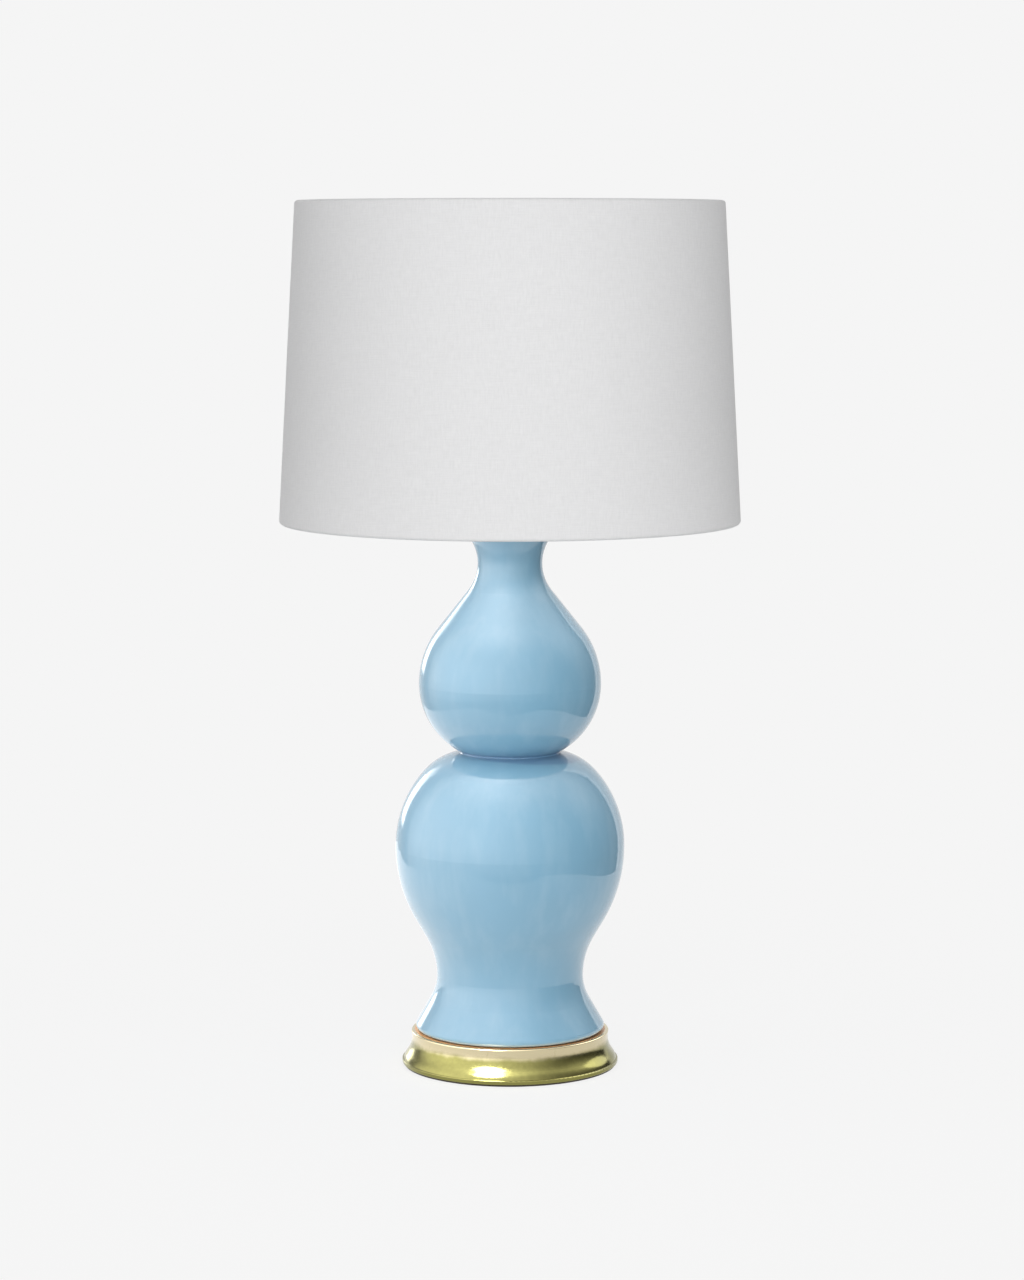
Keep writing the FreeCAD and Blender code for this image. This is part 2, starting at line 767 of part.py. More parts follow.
def make_ceramic():
    """Hollow cast body with a floor, holed for the pipe, and an open mouth under the cap."""
    body = turned(
        "ceramic_body",
        point("0", FOOT),
        arc(f"{FOOT_RADIUS} - foot_round", f"{FOOT} + foot_round", "foot_round", 1),
        *gourd("0"),
        arc(None, None, "lip_round", 1, join="lip"),
        point("0", MOUTH),
    )
    inside = new_sketch(body, "XZ_Plane")
    floor = f"{FOOT} + floor_thick"
    Outline(inside, [
        point("0", f"{FOOT} - floor_thick"),
        point(PIPE_HOLE, f"{FOOT} - floor_thick"),
        point(PIPE_HOLE, floor),
        point(f"{FOOT_RADIUS} - floor_edge", floor, "floor_round"),
        *gourd("body_wall"),
        point(None, f"{MOUTH} + lip_round", side=-1),
        point("0", f"{MOUTH} + lip_round"),
    ])
    revolve(body, inside, "PartDesign::Groove")
    return body


# Pipe and neck fittings

def make_vase_cap():
    """Spun brass cap that covers the mouth and centres the pipe."""
    return turned(
        "vase_cap",
        point("pipe_radius", f"{CAP_TOP} - cap_sheet"),
        point("cap_crown", f"{CAP_TOP} - cap_sheet"),
        point("cap_step", CAP_SEAT),
        point(CAP_INSIDE, CAP_SEAT),
        point(CAP_INSIDE, f"{CAP_SEAT} - cap_skirt"),
        point(CAP_RADIUS, f"{CAP_SEAT} - cap_skirt"),
        point(CAP_RADIUS, f"{CAP_SEAT} + cap_sheet", "cap_sheet"),
        point("cap_step + cap_sheet", f"{CAP_SEAT} + cap_sheet"),
        point("cap_crown + cap_sheet", CAP_TOP, "cap_sheet"),
        point("pipe_radius", CAP_TOP),
    )


def make_spacer():
    """Waisted brass collar between the cap and the harp saddle."""
    return turned(
        "neck_spacer",
        point("pipe_radius", CAP_TOP),
        point("spacer_radius", CAP_TOP),
        point("spacer_radius", f"{CAP_TOP} + spacer_band", "spacer_round"),
        point("spacer_waist", f"{CAP_TOP} + spacer_band + spacer_radius - spacer_waist"),
        point("spacer_waist", f"{STRAP} - spacer_band - spacer_radius + spacer_waist"),
        point("spacer_radius", f"{STRAP} - spacer_band", "spacer_round"),
        point("spacer_radius", STRAP),
        point("pipe_radius", STRAP),
    )


def neck_pieces():
    return [
        ring("lamp_pipe", "pipe_bore", "pipe_radius", PIPE_FOOT, PIPE_TOP, "thread_round"),
        ring(
            "mouth_gasket", f"{MOUTH_BORE} + gasket_margin", f"{LIP_CENTRE} - gasket_margin / 2",
            MOUTH, CAP_SEAT,
        ),
        make_vase_cap(),
        make_spacer(),
        make_saddle(),
        hex_nut("saddle_nut", STRAP_TOP),
    ]


# Harp

TAB_OUT = "(harp_foot - tab_offset)"
TAB_IN = f"({TAB_OUT} - strap_thick)"
STRAP_TIP = "(harp_foot + strap_end)"


def make_saddle():
    """Flat strap under the socket with an upright tab at each end for the harp's feet."""
    body = new_body("harp_saddle")
    sketch = new_sketch(body, "XZ_Plane")
    top = f"{STRAP_TOP} + tab_height"
    Outline(sketch, [
        point(f"-{STRAP_TIP}", STRAP),
        point(STRAP_TIP, STRAP),
        point(STRAP_TIP, STRAP_TOP),
        point(TAB_OUT, STRAP_TOP),
        point(TAB_OUT, top),
        point(TAB_IN, top),
        point(TAB_IN, STRAP_TOP),
        point(f"-{TAB_IN}", STRAP_TOP),
        point(f"-{TAB_IN}", top),
        point(f"-{TAB_OUT}", top),
        point(f"-{TAB_OUT}", STRAP_TOP),
        point(f"-{STRAP_TIP}", STRAP_TOP),
    ])
    extrude(body, sketch, "PartDesign::Pad", "strap_width", middle=True)
    for side in ("", "-"):
        trim = new_sketch(body, "YZ_Plane")
        Outline(trim, [
            point(f"{side}tab_width / 2", STRAP_TOP),
            point(f"{side}strap_width", STRAP_TOP),
            point(f"{side}strap_width", f"{top} + strap_thick"),
            point(f"{side}tab_width / 2", f"{top} + strap_thick"),
        ])
        extrude(body, trim, "PartDesign::Pocket", f"{STRAP_TIP} * 2", middle=True)
    hole = circle_sketch(body, "XY_Plane", "0", "0", "pipe_radius", lift=STRAP_TOP)
    extrude(body, hole, "PartDesign::Pocket", "strap_thick")
    return body


def make_harp():
    """Bent wire that holds the shade over the bulb, both halves alike."""
    body = new_body("harp_wire")
    path = new_sketch(body, "XZ_Plane")
    crown = f"({BOSS} + boss_height / 2)"
    Outline(path, [
        point("harp_foot", STRAP_TOP),
        arc("harp_foot + harp_flare_arc", f"{STRAP_TOP} + harp_leg", "harp_flare_arc", -1),
        arc("harp_reach - harp_side_arc", f"{STRAP_TOP} + harp_widest", "harp_side_arc", 1),
        arc("harp_crown", f"{crown} - harp_crown_arc", "harp_crown_arc", 1),
        point("boss_half", crown),
    ], closed=False)
    profile = circle_sketch(body, "XY_Plane", "harp_foot", "0", "harp_wire_radius", lift=STRAP_TOP)
    sweep(body, path, profile)
    flat = new_sketch(body, "XZ_Plane")
    Outline(flat, [
        point("harp_foot - harp_wire_radius * 2", f"{STRAP_TOP} - strap_thick"),
        point(f"{TAB_OUT} + harp_play", f"{STRAP_TOP} - strap_thick"),
        point(f"{TAB_OUT} + harp_play", f"{STRAP_TOP} + harp_flat"),
        point("harp_foot - harp_wire_radius * 2", f"{STRAP_TOP} + harp_flat"),
    ])
    extrude(body, flat, "PartDesign::Pocket", "harp_wire_radius * 4", middle=True)
    half = body.Tip
    mirror = body.newObject("PartDesign::Mirrored", "left_half")
    mirror.TransformMode = "Whole shape"
    mirror.MirrorPlane = (origin_plane(body, "YZ_Plane"), [""])
    mirror.Originals = [half]
    body.Tip = mirror
    return body


def make_boss():
    """Square block that joins the two halves of the wire and carries the stud."""
    body = new_body("harp_boss")
    sketch = new_sketch(body, "XY_Plane", lift=BOSS)
    Outline(sketch, [
        point("-boss_half", "-boss_half", "boss_round"),
        point("boss_half", "-boss_half", "boss_round"),
        point("boss_half", "boss_half", "boss_round"),
        point("-boss_half", "boss_half", "boss_round"),
    ])
    extrude(body, sketch, "PartDesign::Pad", "boss_height")
    hole = circle_sketch(body, "XY_Plane", "0", "0", "stud_shank + turning_fit", lift=BOSS_TOP)
    extrude(body, hole, "PartDesign::Pocket", "boss_height")
    return body


def make_stud():
    """Swivel stud: a flange for the shade to sit on and a thread for the finial."""
    head = f"{BOSS} - turning_fit"
    flange = f"{HARP_SEAT} - stud_flange_thick"
    top = f"{FINIAL} + stud_reach"
    return turned(
        "harp_stud",
        point("0", f"{head} - stud_head_thick"),
        point("stud_head", f"{head} - stud_head_thick", "thread_round"),
        point("stud_head", head),
        point("stud_shank", head),
        point("stud_shank", flange),
        point("stud_flange", flange),
        point("stud_flange", HARP_SEAT),
        point("stud_thread", HARP_SEAT),
        point("stud_thread", top, "thread_round"),
        point("0", top),
    )


def make_ferrule(label, side):
    """Sleeve that slides down over a foot of the harp and its tab."""
    body = ring(label, "ferrule_bore", "ferrule_radius", "0", "ferrule_height", "ferrule_round")
    body.setExpression("Placement.Base.x", full(f"{side}harp_foot"))
    body.setExpression("Placement.Base.z", full(STRAP_TOP))
    return body


def harp_pieces():
    return [
        make_harp(),
        make_boss(),
        make_ferrule("harp_ferrule_right", ""),
        make_ferrule("harp_ferrule_left", "-"),
        make_stud(),
    ]


# Shade

SHADE_FALL = f"({TOP_RING} - {BOTTOM_RING})"
SHADE_SPREAD = "(bottom_ring_radius - top_ring_radius)"
SHADE_SLANT = f"(sqrt({SHADE_FALL}^2 + {SHADE_SPREAD}^2) / {SHADE_FALL})"


def shade_radius(height, depth):
    """Radius of the shade's side at a height, at a depth outside the line of the ring centres."""
    line = f"top_ring_radius + {SHADE_SPREAD} * ({TOP_RING} - {height}) / {SHADE_FALL}"
    return f"{line} + {depth} * {SHADE_SLANT}"


def make_fabric():
    """Linen cover, rolled over the wire ring at both edges."""
    return turned(
        "shade_fabric",
        point(None, TOP_RING, side=-1),
        arc("top_ring_radius", TOP_RING, "roll_radius", -1, join="on"),
        arc("bottom_ring_radius", BOTTOM_RING, "roll_radius", -1),
        point(None, BOTTOM_RING, side=-1),
        point(None, BOTTOM_RING, side=-1),
        arc("bottom_ring_radius", BOTTOM_RING, RING_WIRE, 1, join="on"),
        arc("top_ring_radius", TOP_RING, RING_WIRE, 1),
        point(None, TOP_RING, side=-1),
    )


def make_liner():
    """Stiff inner sheet that the linen is laid on."""
    bottom = f"({BOTTOM_RING} + liner_margin)"
    top = f"({TOP_RING} - liner_margin)"
    inner = f"({RING_WIRE} - liner_thick)"
    return turned(
        "shade_liner",
        point(shade_radius(bottom, inner), bottom),
        point(shade_radius(bottom, RING_WIRE), bottom),
        point(shade_radius(top, RING_WIRE), top),
        point(shade_radius(top, inner), top),
    )


def make_ring(label, radius, height):
    """Round wire ring at one edge of the shade."""
    torus = doc.addObject("Part::Torus", label)
    torus.Label = label
    torus.setExpression("Radius1", full(radius))
    torus.setExpression("Radius2", full(RING_WIRE))
    torus.setExpression("Placement.Base.z", full(height))
    return torus


def make_arm(index):
    """One spider arm: a rod on the hub that runs out level and bends up under the top ring."""
    body = new_body(f"spider_arm_{index + 1}")
    level = f"({HUB_TOP} + arm_wire)"
    path = new_sketch(body, "XZ_Plane")
    Outline(path, [
        point("arm_start", level),
        arc("top_ring_radius - arm_inset - arm_bend", f"{level} + arm_bend", "arm_bend", 1),
        point("top_ring_radius - arm_inset", f"{TOP_RING} - {RING_WIRE}"),
    ], closed=False)
    profile = circle_sketch(body, "YZ_Plane", "0", level, "arm_wire", lift="arm_start")
    sweep(body, path, profile)
    angle = FIRST_ARM_ANGLE + index * 360.0 / SPIDER_ARMS
    body.Placement = FreeCAD.Placement(
        FreeCAD.Vector(0, 0, 0),
        FreeCAD.Rotation(FreeCAD.Vector(0, 0, 1), angle),
    )
    return body


def shade_pieces():
    return [
        ring("spider_hub", "hub_hole", "hub_radius", HARP_SEAT, HUB_TOP),
        *[make_arm(index) for index in range(SPIDER_ARMS)],
        make_ring("top_ring", "top_ring_radius", TOP_RING),
        make_ring("bottom_ring", "bottom_ring_radius", BOTTOM_RING),
        make_fabric(),
        make_liner(),
    ]


def finial_pieces():
    """Washer and turned brass knob that hold the shade down."""
    washer = ring("finial_washer", "hub_hole", "finial_washer_radius", HUB_TOP, FINIAL)
    knob = turned(
        "finial",
        point("finial_bore", FINIAL),
        point("finial_foot", FINIAL),
        point("finial_foot", f"{FINIAL} + finial_foot_height", "finial_foot_round"),
        point("finial_neck", f"{FINIAL} + finial_neck_level"),
        point("finial_neck", None, side=-1),
        arc("0", f"{FINIAL} + finial_ball_height", "finial_ball", 1, join="on"),
        point("0", None, side=1),
        point("0", f"{FINIAL} + finial_bore_depth"),
        point("finial_bore", f"{FINIAL} + finial_bore_depth"),
    )
    return [washer, knob]


# Socket

def make_socket_cap():
    """Brass cup with a threaded collar on the pipe and a hole for its set screw."""
    body = turned(
        "socket_cap",
        point("pipe_radius", SOCKET),
        point("collar_radius", SOCKET, "thread_round"),
        point("collar_radius", f"{CUP_FLOOR} - cup_sheet"),
        point("cup_radius", f"{CUP_FLOOR} - cup_sheet", "cup_round"),
        point("cup_radius", f"{SOCKET} + cup_height"),
        point(SHELL_RADIUS, f"{SOCKET} + cup_height"),
        point(SHELL_RADIUS, CUP_FLOOR, "cup_round - cup_sheet"),
        point("pipe_radius", CUP_FLOOR),
    )
    height = f"{SOCKET} + set_screw_height"
    hole = circle_sketch(body, "XZ_Plane", "0", height, "set_screw_radius")
    extrude(body, hole, "PartDesign::Pocket", "collar_radius + cup_round")
    return body


def slotted_screw(label, shank, head, start, seat, head_thick):
    """A small screw along its own axis, with a slot across its head."""
    body = turned(
        label,
        point("0", start),
        point(shank, start),
        point(shank, seat),
        point(head, seat),
        point(head, f"{seat} + {head_thick}", "screw_round"),
        point("0", f"{seat} + {head_thick}"),
    )
    slot = new_sketch(body, "XY_Plane", lift=f"{seat} + {head_thick}")
    Outline(slot, [
        point("-slot_width / 2", f"-{head} - slot_width"),
        point("slot_width / 2", f"-{head} - slot_width"),
        point("slot_width / 2", f"{head} + slot_width"),
        point("-slot_width / 2", f"{head} + slot_width"),
    ])
    extrude(body, slot, "PartDesign::Pocket", "slot_depth")
    return body


def make_set_screw():
    screw = slotted_screw(
        "socket_set_screw", "set_screw_radius", "set_screw_head",
        "pipe_radius", "collar_radius", "set_screw_head_thick",
    )
    aim(screw, (0, 1, 0), f"{SOCKET} + set_screw_height")
    return screw


def make_pipe_bushing():
    """Plastic bushing in the end of the pipe, so that its edge can't cut the wires."""
    plug = f"{PIPE_TOP} - bushing_plug"
    return turned(
        "pipe_bushing",
        point("bushing_bore", plug),
        point("pipe_bore", plug),
        point("pipe_bore", PIPE_TOP),
        point("pipe_radius", PIPE_TOP),
        point("pipe_radius", f"{PIPE_TOP} + bushing_flange_thick", "thread_round"),
        point("bushing_bore", f"{PIPE_TOP} + bushing_flange_thick", "thread_round"),
    )


def key_slot(body, length):
    """Cuts the slot at the front that lets the switch shaft through, open at the bottom."""
    slot = new_sketch(body, "XZ_Plane")
    Outline(slot, [
        point("-key_slot_half", SOCKET),
        point("key_slot_half", SOCKET),
        point("key_slot_half", f"{KEY_AXIS} + key_slot_half", "key_slot_round"),
        point("-key_slot_half", f"{KEY_AXIS} + key_slot_half", "key_slot_round"),
    ])
    extrude(body, slot, "PartDesign::Pocket", length, reverse=True)


def make_socket_shell():
    top = f"{SHELL} + shell_length"
    body = turned(
        "socket_shell",
        point(LINER_RADIUS, SHELL),
        point(SHELL_RADIUS, SHELL),
        point(SHELL_RADIUS, top, "rim_soften"),
        point(LINER_RADIUS, top),
    )
    key_slot(body, "cup_radius * 2")
    return body


def make_socket_liner():
    """Insulating paper sleeve between the shell and the core."""
    bottom = f"{SHELL} + socket_liner_inset"
    top = f"{SHELL} + shell_length - socket_liner_inset"
    body = turned(
        "socket_liner",
        point(f"{LINER_RADIUS} - socket_liner_thick", bottom),
        point(LINER_RADIUS, bottom),
        point(LINER_RADIUS, top),
        point(f"{LINER_RADIUS} - socket_liner_thick", top),
    )
    key_slot(body, "cup_radius * 2")
    return body


def make_core():
    """Moulded switch body with a well for the pipe, a rotor chamber and two screw pockets."""
    body = turned(
        "socket_core",
        point("core_well", CUP_FLOOR),
        point("core_radius", CUP_FLOOR, "core_round"),
        point("core_radius", CORE_TOP, "thread_round"),
        point("0", CORE_TOP),
        point("0", f"{CUP_FLOOR} + core_well_depth"),
        point("core_well", f"{CUP_FLOOR} + core_well_depth"),
    )
    start = "(switch_shaft_start - rotor_play)"
    shaft = circle_sketch(body, "XZ_Plane", "0", KEY_AXIS, "switch_shaft_radius + turning_fit", lift=start)
    extrude(body, shaft, "PartDesign::Pocket", "core_radius", reverse=True)
    chamber = circle_sketch(body, "XZ_Plane", "0", KEY_AXIS, "rotor_half * sqrt(2) + rotor_play", lift=start)
    extrude(body, chamber, "PartDesign::Pocket", "rotor_length + rotor_play * 2", reverse=True)
    level = f"{CUP_FLOOR} + terminal_height"
    for side, away in (("", True), ("-", False)):
        seat = f"{side}(core_radius - terminal_depth)"
        pocket = circle_sketch(body, "YZ_Plane", "0", level, "terminal_head + terminal_room", lift=seat)
        extrude(body, pocket, "PartDesign::Pocket", "terminal_depth * 2", reverse=away)
        hole = circle_sketch(body, "YZ_Plane", "0", level, "terminal_shank", lift=seat)
        extrude(body, hole, "PartDesign::Pocket", "terminal_length", reverse=not away)
    return body


def make_terminals():
    """The two terminal screws, one on each side of the core."""
    screws = []
    for name, direction in (("terminal_right", (1, 0, 0)), ("terminal_left", (-1, 0, 0))):
        seat = "(core_radius - terminal_depth)"
        screw = slotted_screw(
            name, "terminal_shank", "terminal_head",
            f"{seat} - terminal_length", seat, "terminal_head_thick",
        )
        aim(screw, direction, f"{CUP_FLOOR} + terminal_height")
        screws.append(screw)
    pair = doc.addObject("Part::Compound", "terminal_screws")
    pair.Label = "terminal_screws"
    pair.Links = screws
    return pair


def make_thread_shell():
    """Brass shell that the bulb screws into, with a hole in its floor for the middle contact."""
    outer = "(thread_shell_radius + thread_shell_sheet)"
    top = f"{CORE_TOP} + thread_shell_height"
    return turned(
        "thread_shell",
        point("contact_hole", CORE_TOP),
        point(outer, CORE_TOP),
        point(outer, top),
        point("thread_shell_radius", top),
        point("thread_shell_radius", f"{CORE_TOP} + thread_shell_sheet"),
        point("contact_hole", f"{CORE_TOP} + thread_shell_sheet"),
    )


def socket_pieces():
    return [
        make_socket_cap(),
        make_set_screw(),
        make_pipe_bushing(),
        make_socket_shell(),
        make_socket_liner(),
        make_core(),
        make_terminals(),
        make_thread_shell(),
        ring(
            "centre_contact", "0", "contact_radius",
            CORE_TOP, f"{CORE_TOP} + contact_height", "thread_round",
        ),
    ]


# Switch

def make_knob():
    """Fluted knob pressed on the end of the shaft."""
    end = "knob_start + knob_length"
    body = turned(
        "switch_knob",
        point("switch_shaft_radius", "knob_start"),
        point("knob_radius", "knob_start", "knob_foot_round"),
        point("knob_radius", end, "knob_round"),
        point("0", end),
        point("0", "switch_shaft_end"),
        point("switch_shaft_radius", "switch_shaft_end"),
    )
    doc.recompute()
    flute = circle_sketch(body, "XY_Plane", "knob_radius + flute_offset", "0", "flute_radius", lift=end)
    cut = extrude(body, flute, "PartDesign::Pocket", "knob_length")
    pattern = body.newObject("PartDesign::PolarPattern", "flutes")
    pattern.Originals = [cut]
    pattern.Axis = (flute, ["N_Axis"])
    pattern.Angle = 360
    pattern.setExpression("Occurrences", full("flute_count"))
    body.Tip = pattern
    return body


def switch_pieces():
    shaft = ring(
        "switch_shaft", "0", "switch_shaft_radius", "switch_shaft_start", "switch_shaft_end",
    )
    rotor = new_body("switch_rotor")
    sketch = new_sketch(rotor, "XY_Plane", lift="switch_shaft_start")
    Outline(sketch, [
        point("-rotor_half", "-rotor_half", "rotor_round"),
        point("rotor_half", "-rotor_half", "rotor_round"),
        point("rotor_half", "rotor_half", "rotor_round"),
        point("-rotor_half", "rotor_half", "rotor_round"),
    ])
    extrude(rotor, sketch, "PartDesign::Pad", "rotor_length")
    end = "switch_shaft_start + rotor_length"
    bore = circle_sketch(rotor, "XY_Plane", "0", "0", "switch_shaft_radius", lift=end)
    extrude(rotor, bore, "PartDesign::Pocket", "rotor_length")
    knob = make_knob()
    pieces = [shaft, rotor, knob]
    for piece in pieces:
        aim(piece, (0, -1, 0), KEY_AXIS)
    return pieces


# Bulb

def glass_curve(depth):
    """The bulb's curve from its neck over the top, at a depth inside the glass."""
    neck = f"bulb_cap_radius - bulb_cap_sheet - {depth}"
    return [
        arc(
            "bulb_cap_radius - bulb_cap_sheet + glass_neck_arc",
            f"{BULB_TIP} + bulb_cap_height + glass_neck_height",
            f"glass_neck_arc + {depth}", -1,
        ),
        arc("0", f"{BULB_TOP} - glass_radius", f"glass_radius - {depth}", 1),
    ], neck


def make_glass():
    """Frosted globe with a narrow neck held in the cap."""
    bottom = f"{BULB_TIP} + bulb_cap_height - glass_neck_height"
    outside, neck = glass_curve("0")
    body = turned(
        "bulb_glass",
        point("0", bottom),
        point(neck, bottom),
        *outside,
        point("0", None, side=1),
    )
    inside, neck = glass_curve("glass_wall")
    hollow = new_sketch(body, "XZ_Plane")
    Outline(hollow, [
        point("0", f"{bottom} - glass_wall"),
        point(neck, f"{bottom} - glass_wall"),
        *inside,
        point("0", None, side=1),
    ])
    revolve(body, hollow, "PartDesign::Groove")
    return body


def make_bulb_cap():
    """Thin metal screw cap around the neck of the glass."""
    top = f"{BULB_TIP} + bulb_cap_height"
    button = f"{BULB_TIP} + tip_height"
    return turned(
        "bulb_cap",
        point("glass_button_radius", f"{button} + glass_button_height / 2"),
        point("bulb_cap_radius", f"{BULB_TIP} + bulb_cap_cone"),
        point("bulb_cap_radius", top, "rim_soften"),
        point("bulb_cap_radius - bulb_cap_sheet", top),
        point("bulb_cap_radius - bulb_cap_sheet", f"{BULB_TIP} + bulb_cap_cone + bulb_cap_sheet"),
        point("glass_button_radius", f"{button} + glass_button_height"),
    )


def make_filament():
    """Two lead wires from the stem and the hoop of filament between them, as one bent wire."""
    body = new_body("bulb_filament")
    bottom = f"({BULB_TIP} + bulb_cap_height + stem_height - glass_neck_height)"
    top = f"({bottom} + filament_height)"
    path = new_sketch(body, "XZ_Plane")
    Outline(path, [
        point("-lead_gap", bottom),
        arc("-(lead_gap + lead_bend)", f"{bottom} + lead_rise", "lead_bend", 1),
        arc("0", f"{top} - lead_spread", "lead_spread", -1),
        arc("lead_gap + lead_bend", f"{bottom} + lead_rise", "lead_bend", 1),
        point("lead_gap", bottom),
    ], closed=False)
    profile = circle_sketch(body, "XY_Plane", "-lead_gap", "0", "lead_radius", lift=bottom)
    sweep(body, path, profile)
    return body


def bulb_pieces():
    button = f"({BULB_TIP} + tip_height)"
    stem = f"({BULB_TIP} + bulb_cap_height - glass_neck_height)"
    return [
        turned(
            "bulb_contact",
            point("0", BULB_TIP),
            point("tip_radius", BULB_TIP, "tip_round"),
            point("tip_radius", button),
            point("0", button),
        ),
        turned(
            "bulb_button",
            point("0", button),
            point("tip_radius", button),
            point("glass_button_radius", f"{button} + glass_button_height / 2"),
            point("glass_button_radius", f"{button} + glass_button_height"),
            point("0", f"{button} + glass_button_height"),
        ),
        make_bulb_cap(),
        make_glass(),
        turned(
            "bulb_stem",
            point("0", stem),
            point("bulb_cap_radius - bulb_cap_sheet - glass_wall", stem),
            point("bulb_cap_radius - bulb_cap_sheet - glass_wall", f"{stem} + glass_wall"),
            point("stem_radius", f"{stem} + stem_flare", "stem_radius"),
            point("stem_radius", f"{stem} + stem_height"),
            point("0", f"{stem} + stem_height"),
        ),
        make_filament(),
    ]


pieces = [
    *base_pieces(),
    make_ceramic(),
    *neck_pieces(),
    *harp_pieces(),
    *shade_pieces(),
    *finial_pieces(),
    *socket_pieces(),
    *switch_pieces(),
    *bulb_pieces(),
]

doc.recompute()

for item in doc.Objects:
    if "Invalid" in item.State or "Error" in item.State:
        raise RuntimeError(f"{item.Label} failed: {item.State}")
for piece in pieces:
    if piece.Shape.isNull() or not piece.Shape.isValid() or not piece.Shape.Solids:
        raise RuntimeError(f"{piece.Label} has no valid solid")

os.makedirs("parts", exist_ok=True)
for piece in pieces:
    piece.Shape.exportStep(f"parts/{piece.Label}.step")
    print(f"{piece.Label:22s} {len(piece.Shape.Solids)} {piece.Shape.Volume / 1000.0:10.3f} cm3")
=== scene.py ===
import json
import math

import bmesh
import bpy
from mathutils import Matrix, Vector


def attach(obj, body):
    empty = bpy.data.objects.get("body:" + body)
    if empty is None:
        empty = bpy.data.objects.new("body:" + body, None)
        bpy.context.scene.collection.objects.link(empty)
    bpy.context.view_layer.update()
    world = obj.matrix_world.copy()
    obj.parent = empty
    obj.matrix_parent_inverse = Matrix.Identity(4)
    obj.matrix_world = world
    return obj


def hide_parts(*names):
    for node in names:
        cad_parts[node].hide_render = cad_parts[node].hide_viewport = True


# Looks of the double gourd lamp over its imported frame. Metres, origin under the middle of the base,
# +Z up, front towards -Y.

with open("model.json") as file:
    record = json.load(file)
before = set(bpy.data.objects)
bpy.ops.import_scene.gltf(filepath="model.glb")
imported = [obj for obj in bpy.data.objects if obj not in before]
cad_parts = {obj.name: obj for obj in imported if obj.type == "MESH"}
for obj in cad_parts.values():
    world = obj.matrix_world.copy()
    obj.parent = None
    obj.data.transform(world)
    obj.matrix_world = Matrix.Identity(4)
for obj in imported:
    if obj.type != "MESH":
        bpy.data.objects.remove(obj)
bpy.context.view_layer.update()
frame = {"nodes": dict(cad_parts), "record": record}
nodes = frame["nodes"]

MM = 0.001


# Camera and studio

LENS = 100.0
SENSOR = 36.0
EYE = (0.0019, -3.3256, 0.7803)
EYE_TILT = 83.565
FAR_CLIP = 60.0

# How bright the picture's background is, and the floor, which meets it without a line
BACKGROUND = 0.913
FLOOR_DROP = 0.0002
FLOOR_SPAN = (-30, -12, 30, 40)
# The share of the floor's tone that is lit, so that it can take a shadow, how it fades with the distance from
# the lamp, and the light that falls there
FLOOR_SHARE = 0.16
FLOOR_FADE = (0.2, 1.1)
FLOOR_LIGHT = 0.59
FLOOR_BOUNCE = (0.8, 0.8, 0.8, 1)

# The outline of the mirrored table top, and how bright it is on the right and on the left
TABLE = (
    (-0.72, 1.3), (-0.74, 0.4), (-0.75, 0.0), (-0.70, -0.26), (-0.62, -0.50), (-0.50, -0.58), (-0.34, -0.56),
    (-0.18, -0.53), (0.0, -0.51), (0.18, -0.52), (0.36, -0.56), (0.50, -0.50), (0.59, -0.36), (0.65, -0.18),
    (0.62, 0.05), (0.59, 0.40), (0.56, 1.3),
)
TABLE_TURN = (0.15, -0.45)
TABLE_RIGHT = 0.95
TABLE_LEFT = 1.5

# What the glaze and the metals mirror. Angles are in degrees, to the right of the camera or up.
# The room, by the angle to the right
ROOM = (
    (-180, 0.90), (-158, 0.90), (-138, 0.45), (-126, 0.45), (-123, 0.70), (-120, 0.45), (-100, 0.40),
    (0, 0.15), (60, 0.08), (100, 0.04), (137, 0.04), (140, 1.30), (146, 0.85), (180, 0.90),
)
# The long low soft light, by the angle to the right and by the angle up
SOFT_BOX = (
    (-128, 0.0), (-108, 0.8), (-80, 1.0), (-30, 1.0), (-5, 0.75), (25, 0.45), (55, 0.15), (80, 0.03),
    (95, 0.0),
)
SOFT_RISE = ((-20, 0.3), (-8, 0.75), (0, 1.0), (20, 0.9), (35, 0.6), (45, 0.45), (60, 0.5), (90, 0.5))
SOFT_LEVEL = 2.3
# Two broad glows: angle to the right, angle up, width and strength
GLOWS = ((-45, 78, 38, 3.0), (105, 42, 24, 1.1))
# The tall window behind on the left: angle, half width and strength, then where it starts and where it
# fades, in radians up
WINDOW_RIGHT = -149
WINDOW_WIDTH = 9.5
WINDOW_LEVEL = 4.5
WINDOW_SILL = (-0.05, 0.0)
WINDOW_HEAD = (0.50, 0.20)
# What lights the lamp evenly from all sides
ROOM_FILL = 0.50

# The soft box in front: size, place, target and watts
FRONT_SIZE = (3.0, 1.4)
FRONT_BOX = ((0.0, -3.4, 0.85), (0.0, 0.0, 0.47), 54.0)
# The two spots at the sides: beam in degrees, soft edge, size, place of the right one, target and watts
SPOT_BEAM = 14.5
SPOT_BLEND = 0.25
SPOT_SIZE = 0.12
SPOT_PLACE = (1.65, -0.95, 0.62)
SPOT_TARGET = (0.0, 0.0, 0.262)
SPOT_POWER = 9.0
# Lights that the gilding mirrors and nothing else sees: size, place, target and watts
GILDING_LIGHTS = (
    ("gilding_front", 0.56, (-0.41, -0.81, 0.90), (0.0, -0.10, 0.02), 30.0),
    ("gilding_right", 1.00, (0.90, 0.60, 0.70), (0.08, 0.0, 0.02), 5.0),
)


def new_object(name, data):
    thing = bpy.data.objects.new(name, data)
    bpy.context.scene.collection.objects.link(thing)
    return thing


